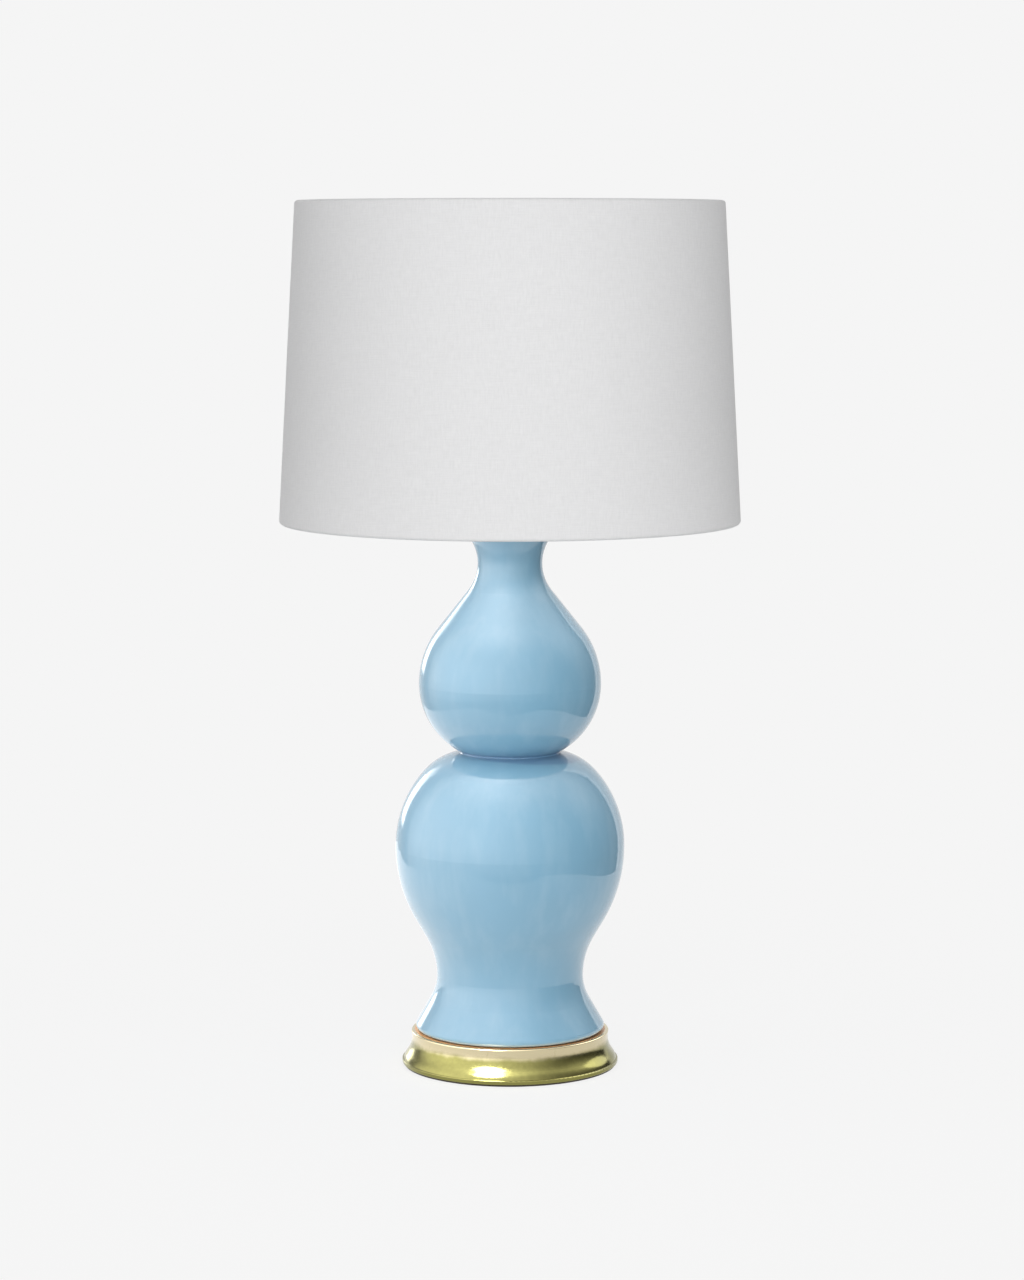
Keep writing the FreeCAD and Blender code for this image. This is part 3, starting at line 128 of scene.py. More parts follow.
def make_camera():
    """The photograph's eye: in front, a little above the middle of the shade, looking slightly down."""
    data = bpy.data.cameras.new("camera")
    data.lens = LENS
    data.sensor_width = SENSOR
    data.clip_end = FAR_CLIP
    camera = new_object("camera", data)
    camera.location = EYE
    camera.rotation_euler = (math.radians(EYE_TILT), 0.0, 0.0)
    bpy.context.scene.camera = camera


def flat_sheet(name, corners):
    """A plain flat face for the floor and the table top."""
    mesh = bpy.data.meshes.new(name)
    mesh.from_pydata(corners, [], [tuple(range(len(corners)))])
    return new_object(name, mesh)


def empty_material(name):
    """A material with no nodes yet. Returns it with its tree."""
    material = bpy.data.materials.new(name)
    material.use_nodes = True
    material.node_tree.nodes.clear()
    return material, material.node_tree


def node(tree, kind, values=None, **settings):
    """Adds a shader node, sets its options and its sockets. A socket may take another node's output."""
    made = tree.nodes.new("ShaderNode" + kind)
    for option, value in settings.items():
        setattr(made, option, value)
    for socket, value in (values or {}).items():
        target = made.inputs[socket]
        if isinstance(value, bpy.types.NodeSocket):
            tree.links.new(value, target)
        else:
            target.default_value = value
    return made


def make_floor():
    """Pale floor that melts into the background and keeps the lamp's soft shadow."""
    left, front, right, back = FLOOR_SPAN
    corners = [(x, y, -FLOOR_DROP) for x, y in ((left, front), (right, front), (right, back), (left, back))]
    floor = flat_sheet("floor", corners)
    material, tree = empty_material("pale_floor")
    ray = node(tree, "LightPath").outputs["Is Camera Ray"]
    away = node(tree, "VectorMath", {0: place_on(tree)}, operation="LENGTH").outputs["Value"]
    share = spread(tree, away, *FLOOR_FADE, FLOOR_SHARE, 0.0, smooth=True)
    shade = node(tree, "CombineColor", {0: share, 1: share, 2: share}).outputs[0]
    lit = node(tree, "BsdfDiffuse", {"Color": shade})
    rest = sum_of(tree, BACKGROUND, sum_of(tree, share, FLOOR_LIGHT, "MULTIPLY"), "SUBTRACT")
    own = node(tree, "Emission", {"Color": (1, 1, 1, 1), "Strength": rest})
    seen = node(tree, "AddShader", {0: lit.outputs[0], 1: own.outputs[0]})
    bounce = node(tree, "BsdfDiffuse", {"Color": FLOOR_BOUNCE})
    mix = node(tree, "MixShader", {0: ray, 1: bounce.outputs[0], 2: seen.outputs[0]})
    node(tree, "OutputMaterial", {"Surface": mix.outputs[0]})
    floor.data.materials.append(material)
    floor.visible_glossy = False


def make_table():
    """The pale table top that the glaze and the gilding mirror. Only reflections see it."""
    table = flat_sheet("table", [(x, y, -2 * FLOOR_DROP) for x, y in TABLE])
    material, tree = empty_material("table_top")
    across = node(tree, "SeparateXYZ", {0: place_on(tree)}).outputs["X"]
    level = spread(tree, across, *TABLE_TURN, TABLE_RIGHT, TABLE_LEFT, smooth=True)
    own = node(tree, "Emission", {"Color": (1, 1, 1, 1), "Strength": level})
    node(tree, "OutputMaterial", {"Surface": own.outputs[0]})
    table.data.materials.append(material)
    table.visible_camera = False
    table.visible_diffuse = False
    table.visible_shadow = False


def facing(tree, way, right, up, width, level):
    """A level towards a direction, by its angles right of the camera and up, that falls off round it."""
    right, up = math.radians(right), math.radians(up)
    aim = (math.sin(right) * math.cos(up), -math.cos(right) * math.cos(up), math.sin(up))
    near_aim = node(tree, "VectorMath", {0: way, 1: aim}, operation="DOT_PRODUCT").outputs["Value"]
    off = node(tree, "Math", {0: near_aim}, operation="ARCCOSINE").outputs[0]
    off = sum_of(tree, off, math.radians(width), "DIVIDE")
    power = sum_of(tree, sum_of(tree, off, off, "MULTIPLY"), -1.0, "MULTIPLY")
    fall = node(tree, "Math", {0: power}, operation="EXPONENT").outputs[0]
    return sum_of(tree, fall, level, "MULTIPLY")


def by_angle(tree, place, levels, half_turn):
    """Levels by an angle that runs from minus to plus half a turn. The place runs from nought to one."""
    stops = [((angle + half_turn) / (2 * half_turn), (level,) * 3) for angle, level in levels]
    return ramp(tree, place, *stops)


def make_world():
    """Flat pale background for the camera. Mirrored, a studio with a big soft light in front on the left."""
    world = bpy.data.worlds.new("studio")
    bpy.context.scene.world = world
    world.use_nodes = True
    tree = world.node_tree
    tree.nodes.clear()
    path = node(tree, "LightPath").outputs
    way = node(tree, "TexCoord").outputs["Generated"]
    axes = node(tree, "SeparateXYZ", {0: way}).outputs
    ahead = sum_of(tree, axes["Y"], -1.0, "MULTIPLY")
    right = sum_of(tree, axes["X"], ahead, "ARCTAN2")
    place = spread(tree, right, -math.pi, math.pi)
    up = node(tree, "Math", {0: axes["Z"]}, operation="ARCSINE").outputs[0]
    rise = spread(tree, up, -math.pi / 2, math.pi / 2)
    # A ramp holds no more than one, so the room goes in at half its level
    room = by_angle(tree, place, [(angle, level / 2) for angle, level in ROOM], 180)
    soft = sum_of(tree, by_angle(tree, place, SOFT_BOX, 180), by_angle(tree, rise, SOFT_RISE, 90), "MULTIPLY")
    soft = sum_of(tree, soft, SOFT_LEVEL, "MULTIPLY")
    above = sum_of(tree, *(facing(tree, way, *glow) for glow in GLOWS))
    across = near(tree, right, math.radians(WINDOW_RIGHT), math.radians(WINDOW_WIDTH))
    strip = sum_of(tree, spread(tree, across, 0.0, 0.5), spread(tree, up, *WINDOW_SILL), "MULTIPLY")
    strip = sum_of(tree, strip, spread(tree, up, *WINDOW_HEAD), "MULTIPLY")
    level = sum_of(tree, sum_of(tree, room, 2.0, "MULTIPLY"), sum_of(tree, strip, WINDOW_LEVEL, "MULTIPLY"))
    level = sum_of(tree, level, sum_of(tree, soft, above))
    white = (1, 1, 1, 1)
    diffuse = node(tree, "Background", {"Color": white, "Strength": ROOM_FILL}).outputs[0]
    mirror = node(tree, "Background", {"Color": white, "Strength": level}).outputs[0]
    flat = node(tree, "Background", {"Color": white, "Strength": BACKGROUND}).outputs[0]
    other = node(tree, "MixShader", {0: path["Is Glossy Ray"], 1: diffuse, 2: mirror}).outputs[0]
    seen = sum_of(tree, path["Is Camera Ray"], path["Is Transmission Ray"], "MAXIMUM")
    all_rays = node(tree, "MixShader", {0: seen, 1: other, 2: flat})
    node(tree, "OutputWorld", {"Surface": all_rays.outputs[0]})


def set_light(name, data, place, target, power):
    """Stands a lamp at a place, points it at a target and gives it its watts.

    What it gives is the shading. What shows of the studio in gloss is the world's.
    """
    data.energy = power
    light = new_object(name, data)
    light.location = place
    light.rotation_euler = (Vector(target) - Vector(place)).to_track_quat("-Z", "Y").to_euler()
    light.visible_camera = False
    light.visible_glossy = False
    light.visible_transmission = False
    return light


def make_lights():
    """A broad soft box in front, the gilding's lights, and side spots whose beams end below the shade."""
    front = bpy.data.lights.new("front_box", "AREA")
    front.shape = "RECTANGLE"
    front.size, front.size_y = FRONT_SIZE
    set_light("front_box", front, *FRONT_BOX)
    out, ahead, up = SPOT_PLACE
    for name, side in (("left_spot", -1), ("right_spot", 1)):
        spot = bpy.data.lights.new(name, "SPOT")
        spot.spot_size = math.radians(SPOT_BEAM)
        spot.spot_blend = SPOT_BLEND
        spot.shadow_soft_size = SPOT_SIZE
        set_light(name, spot, (side * out, ahead, up), SPOT_TARGET, SPOT_POWER)
    gilded = bpy.data.collections.new("gilded")
    gilded.objects.link(nodes["gilded_base"])
    for name, size, place, target, power in GILDING_LIGHTS:
        disk = bpy.data.lights.new(name, "AREA")
        disk.shape = "DISK"
        disk.size = size
        light = set_light(name, disk, place, target, power)
        light.visible_glossy = True
        light.light_linking.receiver_collection = gilded


# Materials

def new_look(name, **sockets):
    """A material with the main shader's constant values set. Returns it with its tree and shader."""
    material = bpy.data.materials.new(name)
    material.use_nodes = True
    tree = material.node_tree
    shader = tree.nodes["Principled BSDF"]
    for socket, value in sockets.items():
        shader.inputs[socket.replace("_", " ")].default_value = value
    return material, tree, shader


def place_on(tree):
    """The point on the surface, in the object's own frame, in metres."""
    return node(tree, "TexCoord").outputs["Object"]


def shaded(colour, share):
    return tuple(value * share for value in colour)


def scaled(tree, vector, amounts):
    return node(tree, "VectorMath", {0: vector, 1: amounts}, operation="MULTIPLY").outputs[0]


def noise(tree, vector, scale, detail=3.0, roughness=0.55, distortion=0.0):
    made = node(tree, "TexNoise", {
        "Vector": vector, "Scale": scale, "Detail": detail, "Roughness": roughness, "Distortion": distortion,
    })
    return made.outputs["Fac"]


def sum_of(tree, first, second, operation="ADD", clamp=False):
    return node(tree, "Math", {0: first, 1: second}, operation=operation, use_clamp=clamp).outputs[0]


def spread(tree, value, low, high, to_low=0.0, to_high=1.0, smooth=False):
    """Stretches a value's range, clamped."""
    return node(tree, "MapRange", {
        "Value": value, "From Min": low, "From Max": high, "To Min": to_low, "To Max": to_high,
    }, interpolation_type="SMOOTHSTEP" if smooth else "LINEAR").outputs[0]


def ramp(tree, value, *stops):
    """Colours along a value. Each stop is a position and a colour."""
    made = node(tree, "ValToRGB", {"Fac": value})
    points = made.color_ramp.elements
    while len(points) < len(stops):
        points.new(0.5)
    for point, (position, colour) in zip(points, stops):
        point.position = position
        point.color = (*colour, 1.0)
    return made.outputs["Color"]


def mixed(tree, factor, first, second, blend="MIX"):
    """Mixes two colours, each a colour or another node's output."""
    made = node(tree, "Mix", data_type="RGBA", blend_type=blend)
    for index, value in ((0, factor), (6, first), (7, second)):
        target = made.inputs[index]
        if isinstance(value, bpy.types.NodeSocket):
            tree.links.new(value, target)
        elif index == 0:
            target.default_value = value
        else:
            target.default_value = (*value, 1.0)
    return made.outputs[2]


def bump(tree, shader, height, distance, strength=1.0, coat=False):
    """Gives the shader a height field. Distance is in metres for a height of one."""
    made = node(tree, "Bump", {"Height": height, "Distance": distance, "Strength": strength}).outputs[0]
    tree.links.new(made, shader.inputs["Normal"])
    if coat:
        tree.links.new(made, shader.inputs["Coat Normal"])


def to_shader(tree, shader, **values):
    """Links outputs to the shader's sockets."""
    for socket, value in values.items():
        tree.links.new(value, shader.inputs[socket.replace("_", " ")])


def around_up(tree):
    """Angle round the lamp's axis, radius from it and height, from the object's own frame."""
    axes = node(tree, "SeparateXYZ", {0: place_on(tree)})
    x, y, z = axes.outputs
    angle = sum_of(tree, y, x, "ARCTAN2")
    square = sum_of(tree, sum_of(tree, x, x, "MULTIPLY"), sum_of(tree, y, y, "MULTIPLY"))
    radius = sum_of(tree, square, 0.5, "POWER")
    return angle, radius, z


def near(tree, value, centre, width):
    """One at a value and falling to nothing at a width on both sides of it."""
    away = sum_of(tree, value, centre, "SUBTRACT")
    away = node(tree, "Math", {0: away}, operation="ABSOLUTE").outputs[0]
    return spread(tree, away, width, 0.0, smooth=True)


make_camera()
make_world()
make_floor()
make_table()
make_lights()

bpy.context.scene.view_settings.view_transform = "Standard"


GLAZE = (0.055, 0.268, 0.425)
# The crease's colour: glaze pooled there, darkened further as painted shade
GLAZE_POOL_SHADE = (0.0, 0.14, 0.30)
GLAZE_THIN = (0.42, 0.62, 0.72)
GLAZE_FLECK = (0.12, 0.30, 0.42)
CREASE = 0.3005
# How far the darker glaze, pooled glaze with painted shadow over it, reaches up and down from the crease, and
# how much further down the painted shadow reaches on one side
POOL_SHADE_RISE = 0.0022
POOL_SHADE_DROP = 0.0048
SHADOW_TILT = 0.06
# The two edges where the glaze breaks paler: level and reach
FOOT_EDGE = (0.0352, 0.0016)
MOUTH_EDGE = (0.504, 0.004)
GLAZE_RIPPLE = 0.00035


def glaze_look():
    """Glossy sky blue glaze: darker in the crease, partly pooled glaze and partly painted shadow cast by the
    upper bulge, which reaches further down towards +X; it breaks paler at the foot and the mouth.
    """
    material, tree, shader = new_look(
        "sky_blue_glaze", Roughness=0.85, Coat_Weight=1.0, Coat_Roughness=0.03, Coat_IOR=1.6,
        Specular_IOR_Level=1.0, IOR=2.4,
    )
    where = place_on(tree)
    height = around_up(tree)[2]
    cloud = noise(tree, where, 14.0, 2.0)
    flow = noise(tree, scaled(tree, where, (1, 1, 0.25)), 55.0, 3.0)
    speck = noise(tree, where, 900.0, 1.0)
    tone = ramp(tree, cloud, (0.3, shaded(GLAZE, 0.95)), (0.7, shaded(GLAZE, 1.04)))
    tone = mixed(tree, spread(tree, flow, 0.45, 0.75, 0.0, 0.12), tone, GLAZE_THIN)
    # Painted shadow of the upper bulge over the pooled glaze: a band at the crease that reaches further down
    # towards +X
    across = node(tree, "SeparateXYZ", {0: where}).outputs["X"]
    tilted = sum_of(tree, height, sum_of(tree, across, SHADOW_TILT, "MULTIPLY"))
    low, high = CREASE - POOL_SHADE_DROP, CREASE + POOL_SHADE_RISE
    pool_shade = spread(tree, tilted, low, low + 0.0015)
    pool_shade = sum_of(tree, pool_shade, spread(tree, height, high, high - 0.001), "MULTIPLY")
    tone = mixed(tree, pool_shade, tone, GLAZE_POOL_SHADE)
    edge = sum_of(tree, near(tree, height, *FOOT_EDGE), near(tree, height, *MOUTH_EDGE), "MAXIMUM")
    tone = mixed(tree, sum_of(tree, edge, 0.25, "MULTIPLY"), tone, GLAZE_THIN)
    tone = mixed(tree, spread(tree, speck, 0.70, 0.76, 0.0, 0.18), tone, GLAZE_FLECK)
    to_shader(tree, shader, Base_Color=tone)
    ripple = noise(tree, where, 26.0, 1.0, 0.4)
    peel = noise(tree, where, 330.0, 1.0, 0.4)
    bump(tree, shader, sum_of(tree, ripple, sum_of(tree, peel, 0.012, "MULTIPLY")), GLAZE_RIPPLE, coat=True)
    return material


LEAF = (0.24, 0.225, 0.078)
# The paler leaf is a painted reflection; the darker leaf gives the laps between leaves and the painted shade
# near the bottom
LEAF_PAINTED_REFLECTION = (0.62, 0.54, 0.35)
LEAF_LAP_AND_SHADE = (0.23, 0.22, 0.065)
BOLE = (0.50, 0.20, 0.06)
LEAVES_ROUND = 9.0
FOOT_RADIUS = 0.0894
GILT_TOP = 0.0332
# Between these levels the gilding turns pale above, a painted reflection, and dark below, painted shade
PAINTED_REFLECTION_FROM = (0.0235, 0.0300)
PAINTED_SHADE_FROM = (0.0082, 0.0062)


def gold_leaf_look():
    """Burnished gilding in squares of leaf over an orange-brown ground, paler towards the top as a painted
    reflection and darker near the bottom as painted shade.
    """
    material, tree, shader = new_look("gold_leaf", Specular_IOR_Level=0.5)
    where = place_on(tree)
    angle, radius, height = around_up(tree)
    wander = noise(tree, where, 60.0, 3.0)
    mottle = noise(tree, where, 230.0, 4.0, 0.65)
    fine = noise(tree, where, 1400.0, 2.0, 0.6)
    cloud = noise(tree, where, 22.0, 2.0)
    drift = sum_of(tree, sum_of(tree, cloud, 0.6, "MULTIPLY"), sum_of(tree, mottle, 0.4, "MULTIPLY"))
    metal = ramp(tree, drift, (0.36, shaded(LEAF, 0.88)), (0.64, shaded(LEAF, 1.12)))
    # Painted reflection: paler towards the top. Painted shade: darker near the bottom
    rise = sum_of(tree, height, sum_of(tree, wander, 0.006, "MULTIPLY"))
    metal = mixed(tree, spread(tree, rise, *PAINTED_REFLECTION_FROM, smooth=True), metal, LEAF_PAINTED_REFLECTION)
    metal = mixed(tree, spread(tree, rise, *PAINTED_SHADE_FROM, smooth=True), metal, LEAF_LAP_AND_SHADE)
    # The laps between the leaves
    turn = sum_of(tree, angle, LEAVES_ROUND / (2 * math.pi), "MULTIPLY")
    turn = sum_of(tree, turn, sum_of(tree, wander, 0.16, "MULTIPLY"))
    strip = node(tree, "Math", {0: turn}, operation="FRACT").outputs[0]
    lap = near(tree, strip, 0.5, 0.012)
    lap = sum_of(tree, lap, spread(tree, mottle, 0.35, 0.6, 0.2, 0.8), "MULTIPLY")
    metal = mixed(tree, sum_of(tree, lap, 0.22, "MULTIPLY"), metal, LEAF_LAP_AND_SHADE)
    # The ground shows in a thin line round the ceramic foot and in a few pits
    top = spread(tree, height, GILT_TOP - 0.0008, GILT_TOP - 0.0003)
    line = spread(tree, radius, FOOT_RADIUS + 0.0016, FOOT_RADIUS + 0.0007, smooth=True)
    line = sum_of(tree, line, top, "MULTIPLY")
    line = sum_of(tree, line, spread(tree, mottle, 0.3, 0.6, 1.0, 0.75), "MULTIPLY")
    pits = sum_of(tree, spread(tree, fine, 0.72, 0.76), spread(tree, mottle, 0.54, 0.62), "MULTIPLY")
    bare = sum_of(tree, sum_of(tree, line, pits, "MAXIMUM"), 0.92, "MULTIPLY", clamp=True)
    tone = mixed(tree, bare, metal, BOLE)
    shine = spread(tree, bare, 0.0, 1.0, 1.0, 0.25)
    rough = sum_of(tree, spread(tree, mottle, 0.3, 0.7, 0.14, 0.20), sum_of(tree, bare, 0.2, "MULTIPLY"))
    to_shader(tree, shader, Base_Color=tone, Metallic=shine, Roughness=rough)
    relief = sum_of(tree, sum_of(tree, mottle, 0.25, "MULTIPLY"), sum_of(tree, fine, 0.05, "MULTIPLY"))
    relief = sum_of(tree, relief, sum_of(tree, lap, 0.06, "MULTIPLY"))
    relief = sum_of(tree, relief, sum_of(tree, wander, 0.6, "MULTIPLY"))
    bump(tree, shader, relief, 0.00012)
    return material


LINEN = (0.84, 0.84, 0.845)
THREAD = 0.00062


def rounded_threads(tree, axis):
    """The rounded backs of threads laid side by side across an axis of the cloth."""
    turns = sum_of(tree, axis, math.pi / THREAD, "MULTIPLY")
    wave = node(tree, "Math", {0: turns}, operation="SINE").outputs[0]
    return node(tree, "Math", {0: wave}, operation="ABSOLUTE").outputs[0]


def linen_look():
    """White slubby linen: warp and weft laid out on the sheet's own map, in metres."""
    material, tree, shader = new_look(
        "white_linen", Roughness=0.85, Specular_IOR_Level=0.25, Sheen_Weight=0.12, Sheen_Roughness=0.5,
    )
    cloth = node(tree, "UVMap", uv_map="cloth").outputs[0]
    drift = noise(tree, cloth, 9.0, 2.0)
    shift = node(tree, "CombineXYZ", {0: drift, 1: drift, 2: 0.0}).outputs[0]
    shift = scaled(tree, shift, (0.010, 0.005, 0))
    cloth = node(tree, "VectorMath", {0: cloth, 1: shift}, operation="ADD").outputs[0]
    axes = node(tree, "SeparateXYZ", {0: cloth}).outputs
    half = scaled(tree, cloth, (0.5 / THREAD, 0.5 / THREAD, 0))
    over = node(tree, "TexChecker", {"Vector": half, "Scale": 2.0}).outputs["Fac"]
    warp, weft = rounded_threads(tree, axes[0]), rounded_threads(tree, axes[1])
    thread = node(tree, "Mix", {0: over, 2: warp, 3: weft}, data_type="FLOAT").outputs[0]
    upright = noise(tree, scaled(tree, cloth, (1.0, 0.06, 1.0)), 1100.0, 2.0, 0.7)
    level = noise(tree, scaled(tree, cloth, (0.05, 1.0, 1.0)), 1100.0, 2.0, 0.7)
    slub = noise(tree, scaled(tree, cloth, (1.0, 0.30, 1.0)), 420.0, 3.0, 0.7)
    uneven = sum_of(tree, sum_of(tree, upright, level), slub)
    shade = spread(tree, uneven, 1.1, 1.9, -1.0, 1.0)
    knots = spread(tree, slub, 0.68, 0.80)
    bright = sum_of(tree, sum_of(tree, shade, 0.045, "MULTIPLY"), 0.955)
    bright = sum_of(tree, bright, sum_of(tree, knots, -0.05, "MULTIPLY"))
    bright = sum_of(tree, bright, sum_of(tree, sum_of(tree, thread, -0.5), 0.03, "MULTIPLY"))
    grey = node(tree, "CombineColor", {0: bright, 1: bright, 2: bright}).outputs[0]
    to_shader(tree, shader, Base_Color=mixed(tree, 1.0, LINEN, grey, "MULTIPLY"))
    relief = sum_of(tree, sum_of(tree, thread, 0.5, "MULTIPLY"), sum_of(tree, uneven, 0.35, "MULTIPLY"))
    bump(tree, shader, relief, 0.00012, 0.8)
    return material


def felt_look():
    """Dark wool felt with matted fibres."""
    material, tree, shader = new_look("felt", Roughness=0.95, Specular_IOR_Level=0.15, Sheen_Weight=0.35)
    where = place_on(tree)
    wool = noise(tree, where, 700.0, 5.0, 0.75, 1.5)
    cloud = noise(tree, where, 45.0, 2.0)
    tone = ramp(tree, sum_of(tree, sum_of(tree, wool, cloud), 0.5, "MULTIPLY"),
                (0.3, (0.022, 0.018, 0.014)), (0.7, (0.105, 0.088, 0.070)))
    to_shader(tree, shader, Base_Color=tone)
    bump(tree, shader, wool, 0.0005)
    return material


def metal_look(name, dark, pale, rough_low, rough_high, rings=0.0, stain=None):
    """A bare metal with fine scratches, a worn tone and, on turned pieces, fine rings."""
    material, tree, shader = new_look(name, Metallic=1.0)
    where = place_on(tree)
    radius, height = around_up(tree)[1:]
    cloud = noise(tree, where, 120.0, 3.0, 0.6)
    scratch = noise(tree, scaled(tree, where, (1, 1, 8)), 500.0, 3.0, 0.7)
    tone = ramp(tree, sum_of(tree, sum_of(tree, cloud, scratch), 0.5, "MULTIPLY"), (0.32, dark), (0.62, pale))
    if stain is not None:
        patch = spread(tree, noise(tree, where, 70.0, 4.0, 0.7), 0.55, 0.72, 0.0, 0.55)
        tone = mixed(tree, patch, tone, stain)
    rough = spread(tree, sum_of(tree, cloud, scratch), 0.6, 1.4, rough_low, rough_high)
    to_shader(tree, shader, Base_Color=tone, Roughness=rough)
    relief = sum_of(tree, scratch, 0.6, "MULTIPLY")
    if rings:
        groove = sum_of(tree, sum_of(tree, height, radius), rings, "MULTIPLY")
        groove = node(tree, "Math", {0: groove}, operation="SINE").outputs[0]
        relief = sum_of(tree, relief, sum_of(tree, groove, 0.25, "MULTIPLY"))
    bump(tree, shader, relief, 0.00004, 0.7)
    return material


def plastic_look():
    """Black moulded plastic with a fine spark texture."""
    material, tree, shader = new_look("black_plastic", Specular_IOR_Level=0.5)
    where = place_on(tree)
    spark = noise(tree, where, 2600.0, 2.0, 0.6)
    cloud = noise(tree, where, 90.0, 3.0)
    tone = ramp(tree, cloud, (0.3, (0.012, 0.012, 0.013)), (0.7, (0.030, 0.029, 0.028)))
    to_shader(tree, shader, Base_Color=tone, Roughness=spread(tree, cloud, 0.3, 0.7, 0.30, 0.48))
    bump(tree, shader, spark, 0.00005, 0.6)
    return material


def rubber_look():
    material, tree, shader = new_look("rubber", Roughness=0.8, Specular_IOR_Level=0.3)
    where = place_on(tree)
    dust = noise(tree, where, 300.0, 4.0, 0.7)
    tone = ramp(tree, dust, (0.35, (0.030, 0.029, 0.028)), (0.75, (0.085, 0.082, 0.078)))
    to_shader(tree, shader, Base_Color=tone)
    bump(tree, shader, dust, 0.00012)
    return material


def enamel_look():
    """White enamel on the shade's wires, a little lumpy, with a few yellowed spots."""
    material, tree, shader = new_look("white_enamel", Roughness=0.28, Coat_Weight=0.4, Coat_Roughness=0.1)
    where = place_on(tree)
    lump = noise(tree, where, 220.0, 2.0)
    age = noise(tree, where, 60.0, 4.0, 0.7)
    tone = ramp(tree, age, (0.45, (0.80, 0.80, 0.785)), (0.75, (0.70, 0.675, 0.60)))
    to_shader(tree, shader, Base_Color=tone)
    bump(tree, shader, lump, 0.00010)
    return material


def liner_look():
    """Smooth white sheet behind the linen, with the weave just showing through."""
    material, tree, shader = new_look("shade_liner", Roughness=0.42, Specular_IOR_Level=0.4)
    where = place_on(tree)
    cloud = noise(tree, where, 16.0, 3.0)
    thread = noise(tree, scaled(tree, where, (1, 1, 0.1)), 900.0, 2.0, 0.7)
    bright = spread(tree, cloud, 0.3, 0.7, 0.80, 0.86)
    bright = sum_of(tree, bright, spread(tree, thread, 0.3, 0.7, -0.02, 0.02))
    warm = sum_of(tree, bright, 0.985, "MULTIPLY")
    tone = node(tree, "CombineColor", {0: bright, 1: bright, 2: warm}).outputs[0]
    to_shader(tree, shader, Base_Color=tone)
    bump(tree, shader, thread, 0.00005, 0.5)
    return material


def board_look():
    """Brown insulating board, fibrous."""
    material, tree, shader = new_look("board", Roughness=0.8, Specular_IOR_Level=0.2)
    where = place_on(tree)
    fibre = noise(tree, scaled(tree, where, (1, 1, 0.3)), 900.0, 5.0, 0.75, 1.0)
    tone = ramp(tree, fibre, (0.3, (0.34, 0.23, 0.12)), (0.7, (0.60, 0.46, 0.28)))
    to_shader(tree, shader, Base_Color=tone)
    bump(tree, shader, fibre, 0.00010)
    return material


def black_glass_look():
    material, tree, shader = new_look("black_glass", Roughness=0.08, Coat_Weight=0.5)
    where = place_on(tree)
    flow = noise(tree, where, 260.0, 2.0)
    tone = ramp(tree, flow, (0.3, (0.008, 0.008, 0.010)), (0.7, (0.022, 0.020, 0.026)))
    to_shader(tree, shader, Base_Color=tone)
    bump(tree, shader, flow, 0.0001, 0.5)
    return material


def frosted_look():
    """Soft white coating inside the glass, under a smooth outer skin."""
    material, tree, shader = new_look(
        "frosted_glass", Roughness=0.35, Coat_Weight=0.8, Coat_Roughness=0.06, Subsurface_Weight=0.3,
        Subsurface_Scale=0.004,
    )
    where = place_on(tree)
    powder = noise(tree, where, 1500.0, 2.0)
    cloud = noise(tree, where, 35.0, 2.0)
    tone = ramp(tree, sum_of(tree, sum_of(tree, powder, cloud), 0.5, "MULTIPLY"),
                (0.35, (0.80, 0.80, 0.775)), (0.65, (0.90, 0.90, 0.885)))
    to_shader(tree, shader, Base_Color=tone)
    bump(tree, shader, powder, 0.00002, 0.4)
    return material


def clear_glass_look():
    material, tree, shader = new_look("clear_glass", Roughness=0.03, Transmission_Weight=1.0, IOR=1.5)
    where = place_on(tree)
    flow = noise(tree, where, 180.0, 2.0)
    tone = ramp(tree, flow, (0.3, (0.88, 0.93, 0.92)), (0.7, (0.96, 0.985, 0.98)))
    to_shader(tree, shader, Base_Color=tone)
    bump(tree, shader, flow, 0.0001, 0.5)
    return material


# Bare metals: worn tone, bright tone, lowest and highest roughness, turning rings and the stain's tone
STEEL = ((0.42, 0.43, 0.43), (0.66, 0.66, 0.64), 0.28, 0.5, 9000.0)
BRASS = ((0.60, 0.43, 0.17), (0.86, 0.66, 0.33), 0.20, 0.38, 7000.0, (0.42, 0.27, 0.11))
SOLDER = ((0.34, 0.34, 0.35), (0.60, 0.60, 0.60), 0.38, 0.6, 0.0, (0.25, 0.24, 0.23))
BULB_METAL = ((0.60, 0.60, 0.60), (0.84, 0.84, 0.83), 0.16, 0.32)

# The look of each material slot
LOOKS = {
    "felt": felt_look(),
    "gold_leaf": gold_leaf_look(),
    "steel": metal_look("zinc_steel", *STEEL),
    "brass": metal_look("brass", *BRASS),
    "black_plastic": plastic_look(),
    "glaze": glaze_look(),
    "rubber": rubber_look(),
    "white_wire": enamel_look(),
    "linen": linen_look(),
    "liner": liner_look(),
    "cardboard": board_look(),
    "solder": metal_look("solder", *SOLDER),
    "black_glass": black_glass_look(),
    "bulb_metal": metal_look("bulb_metal", *BULB_METAL),
    "frosted_glass": frosted_look(),
    "clear_glass": clear_glass_look(),
}


def dress_nodes():
    """Gives every CAD node the look of its material slot."""
    for part in frame["record"]["subparts"]:
        thing = nodes[part["node"]]
        thing.data.materials.clear()
        thing.data.materials.append(LOOKS[part["material_slot"]])


dress_nodes()


# Pieces

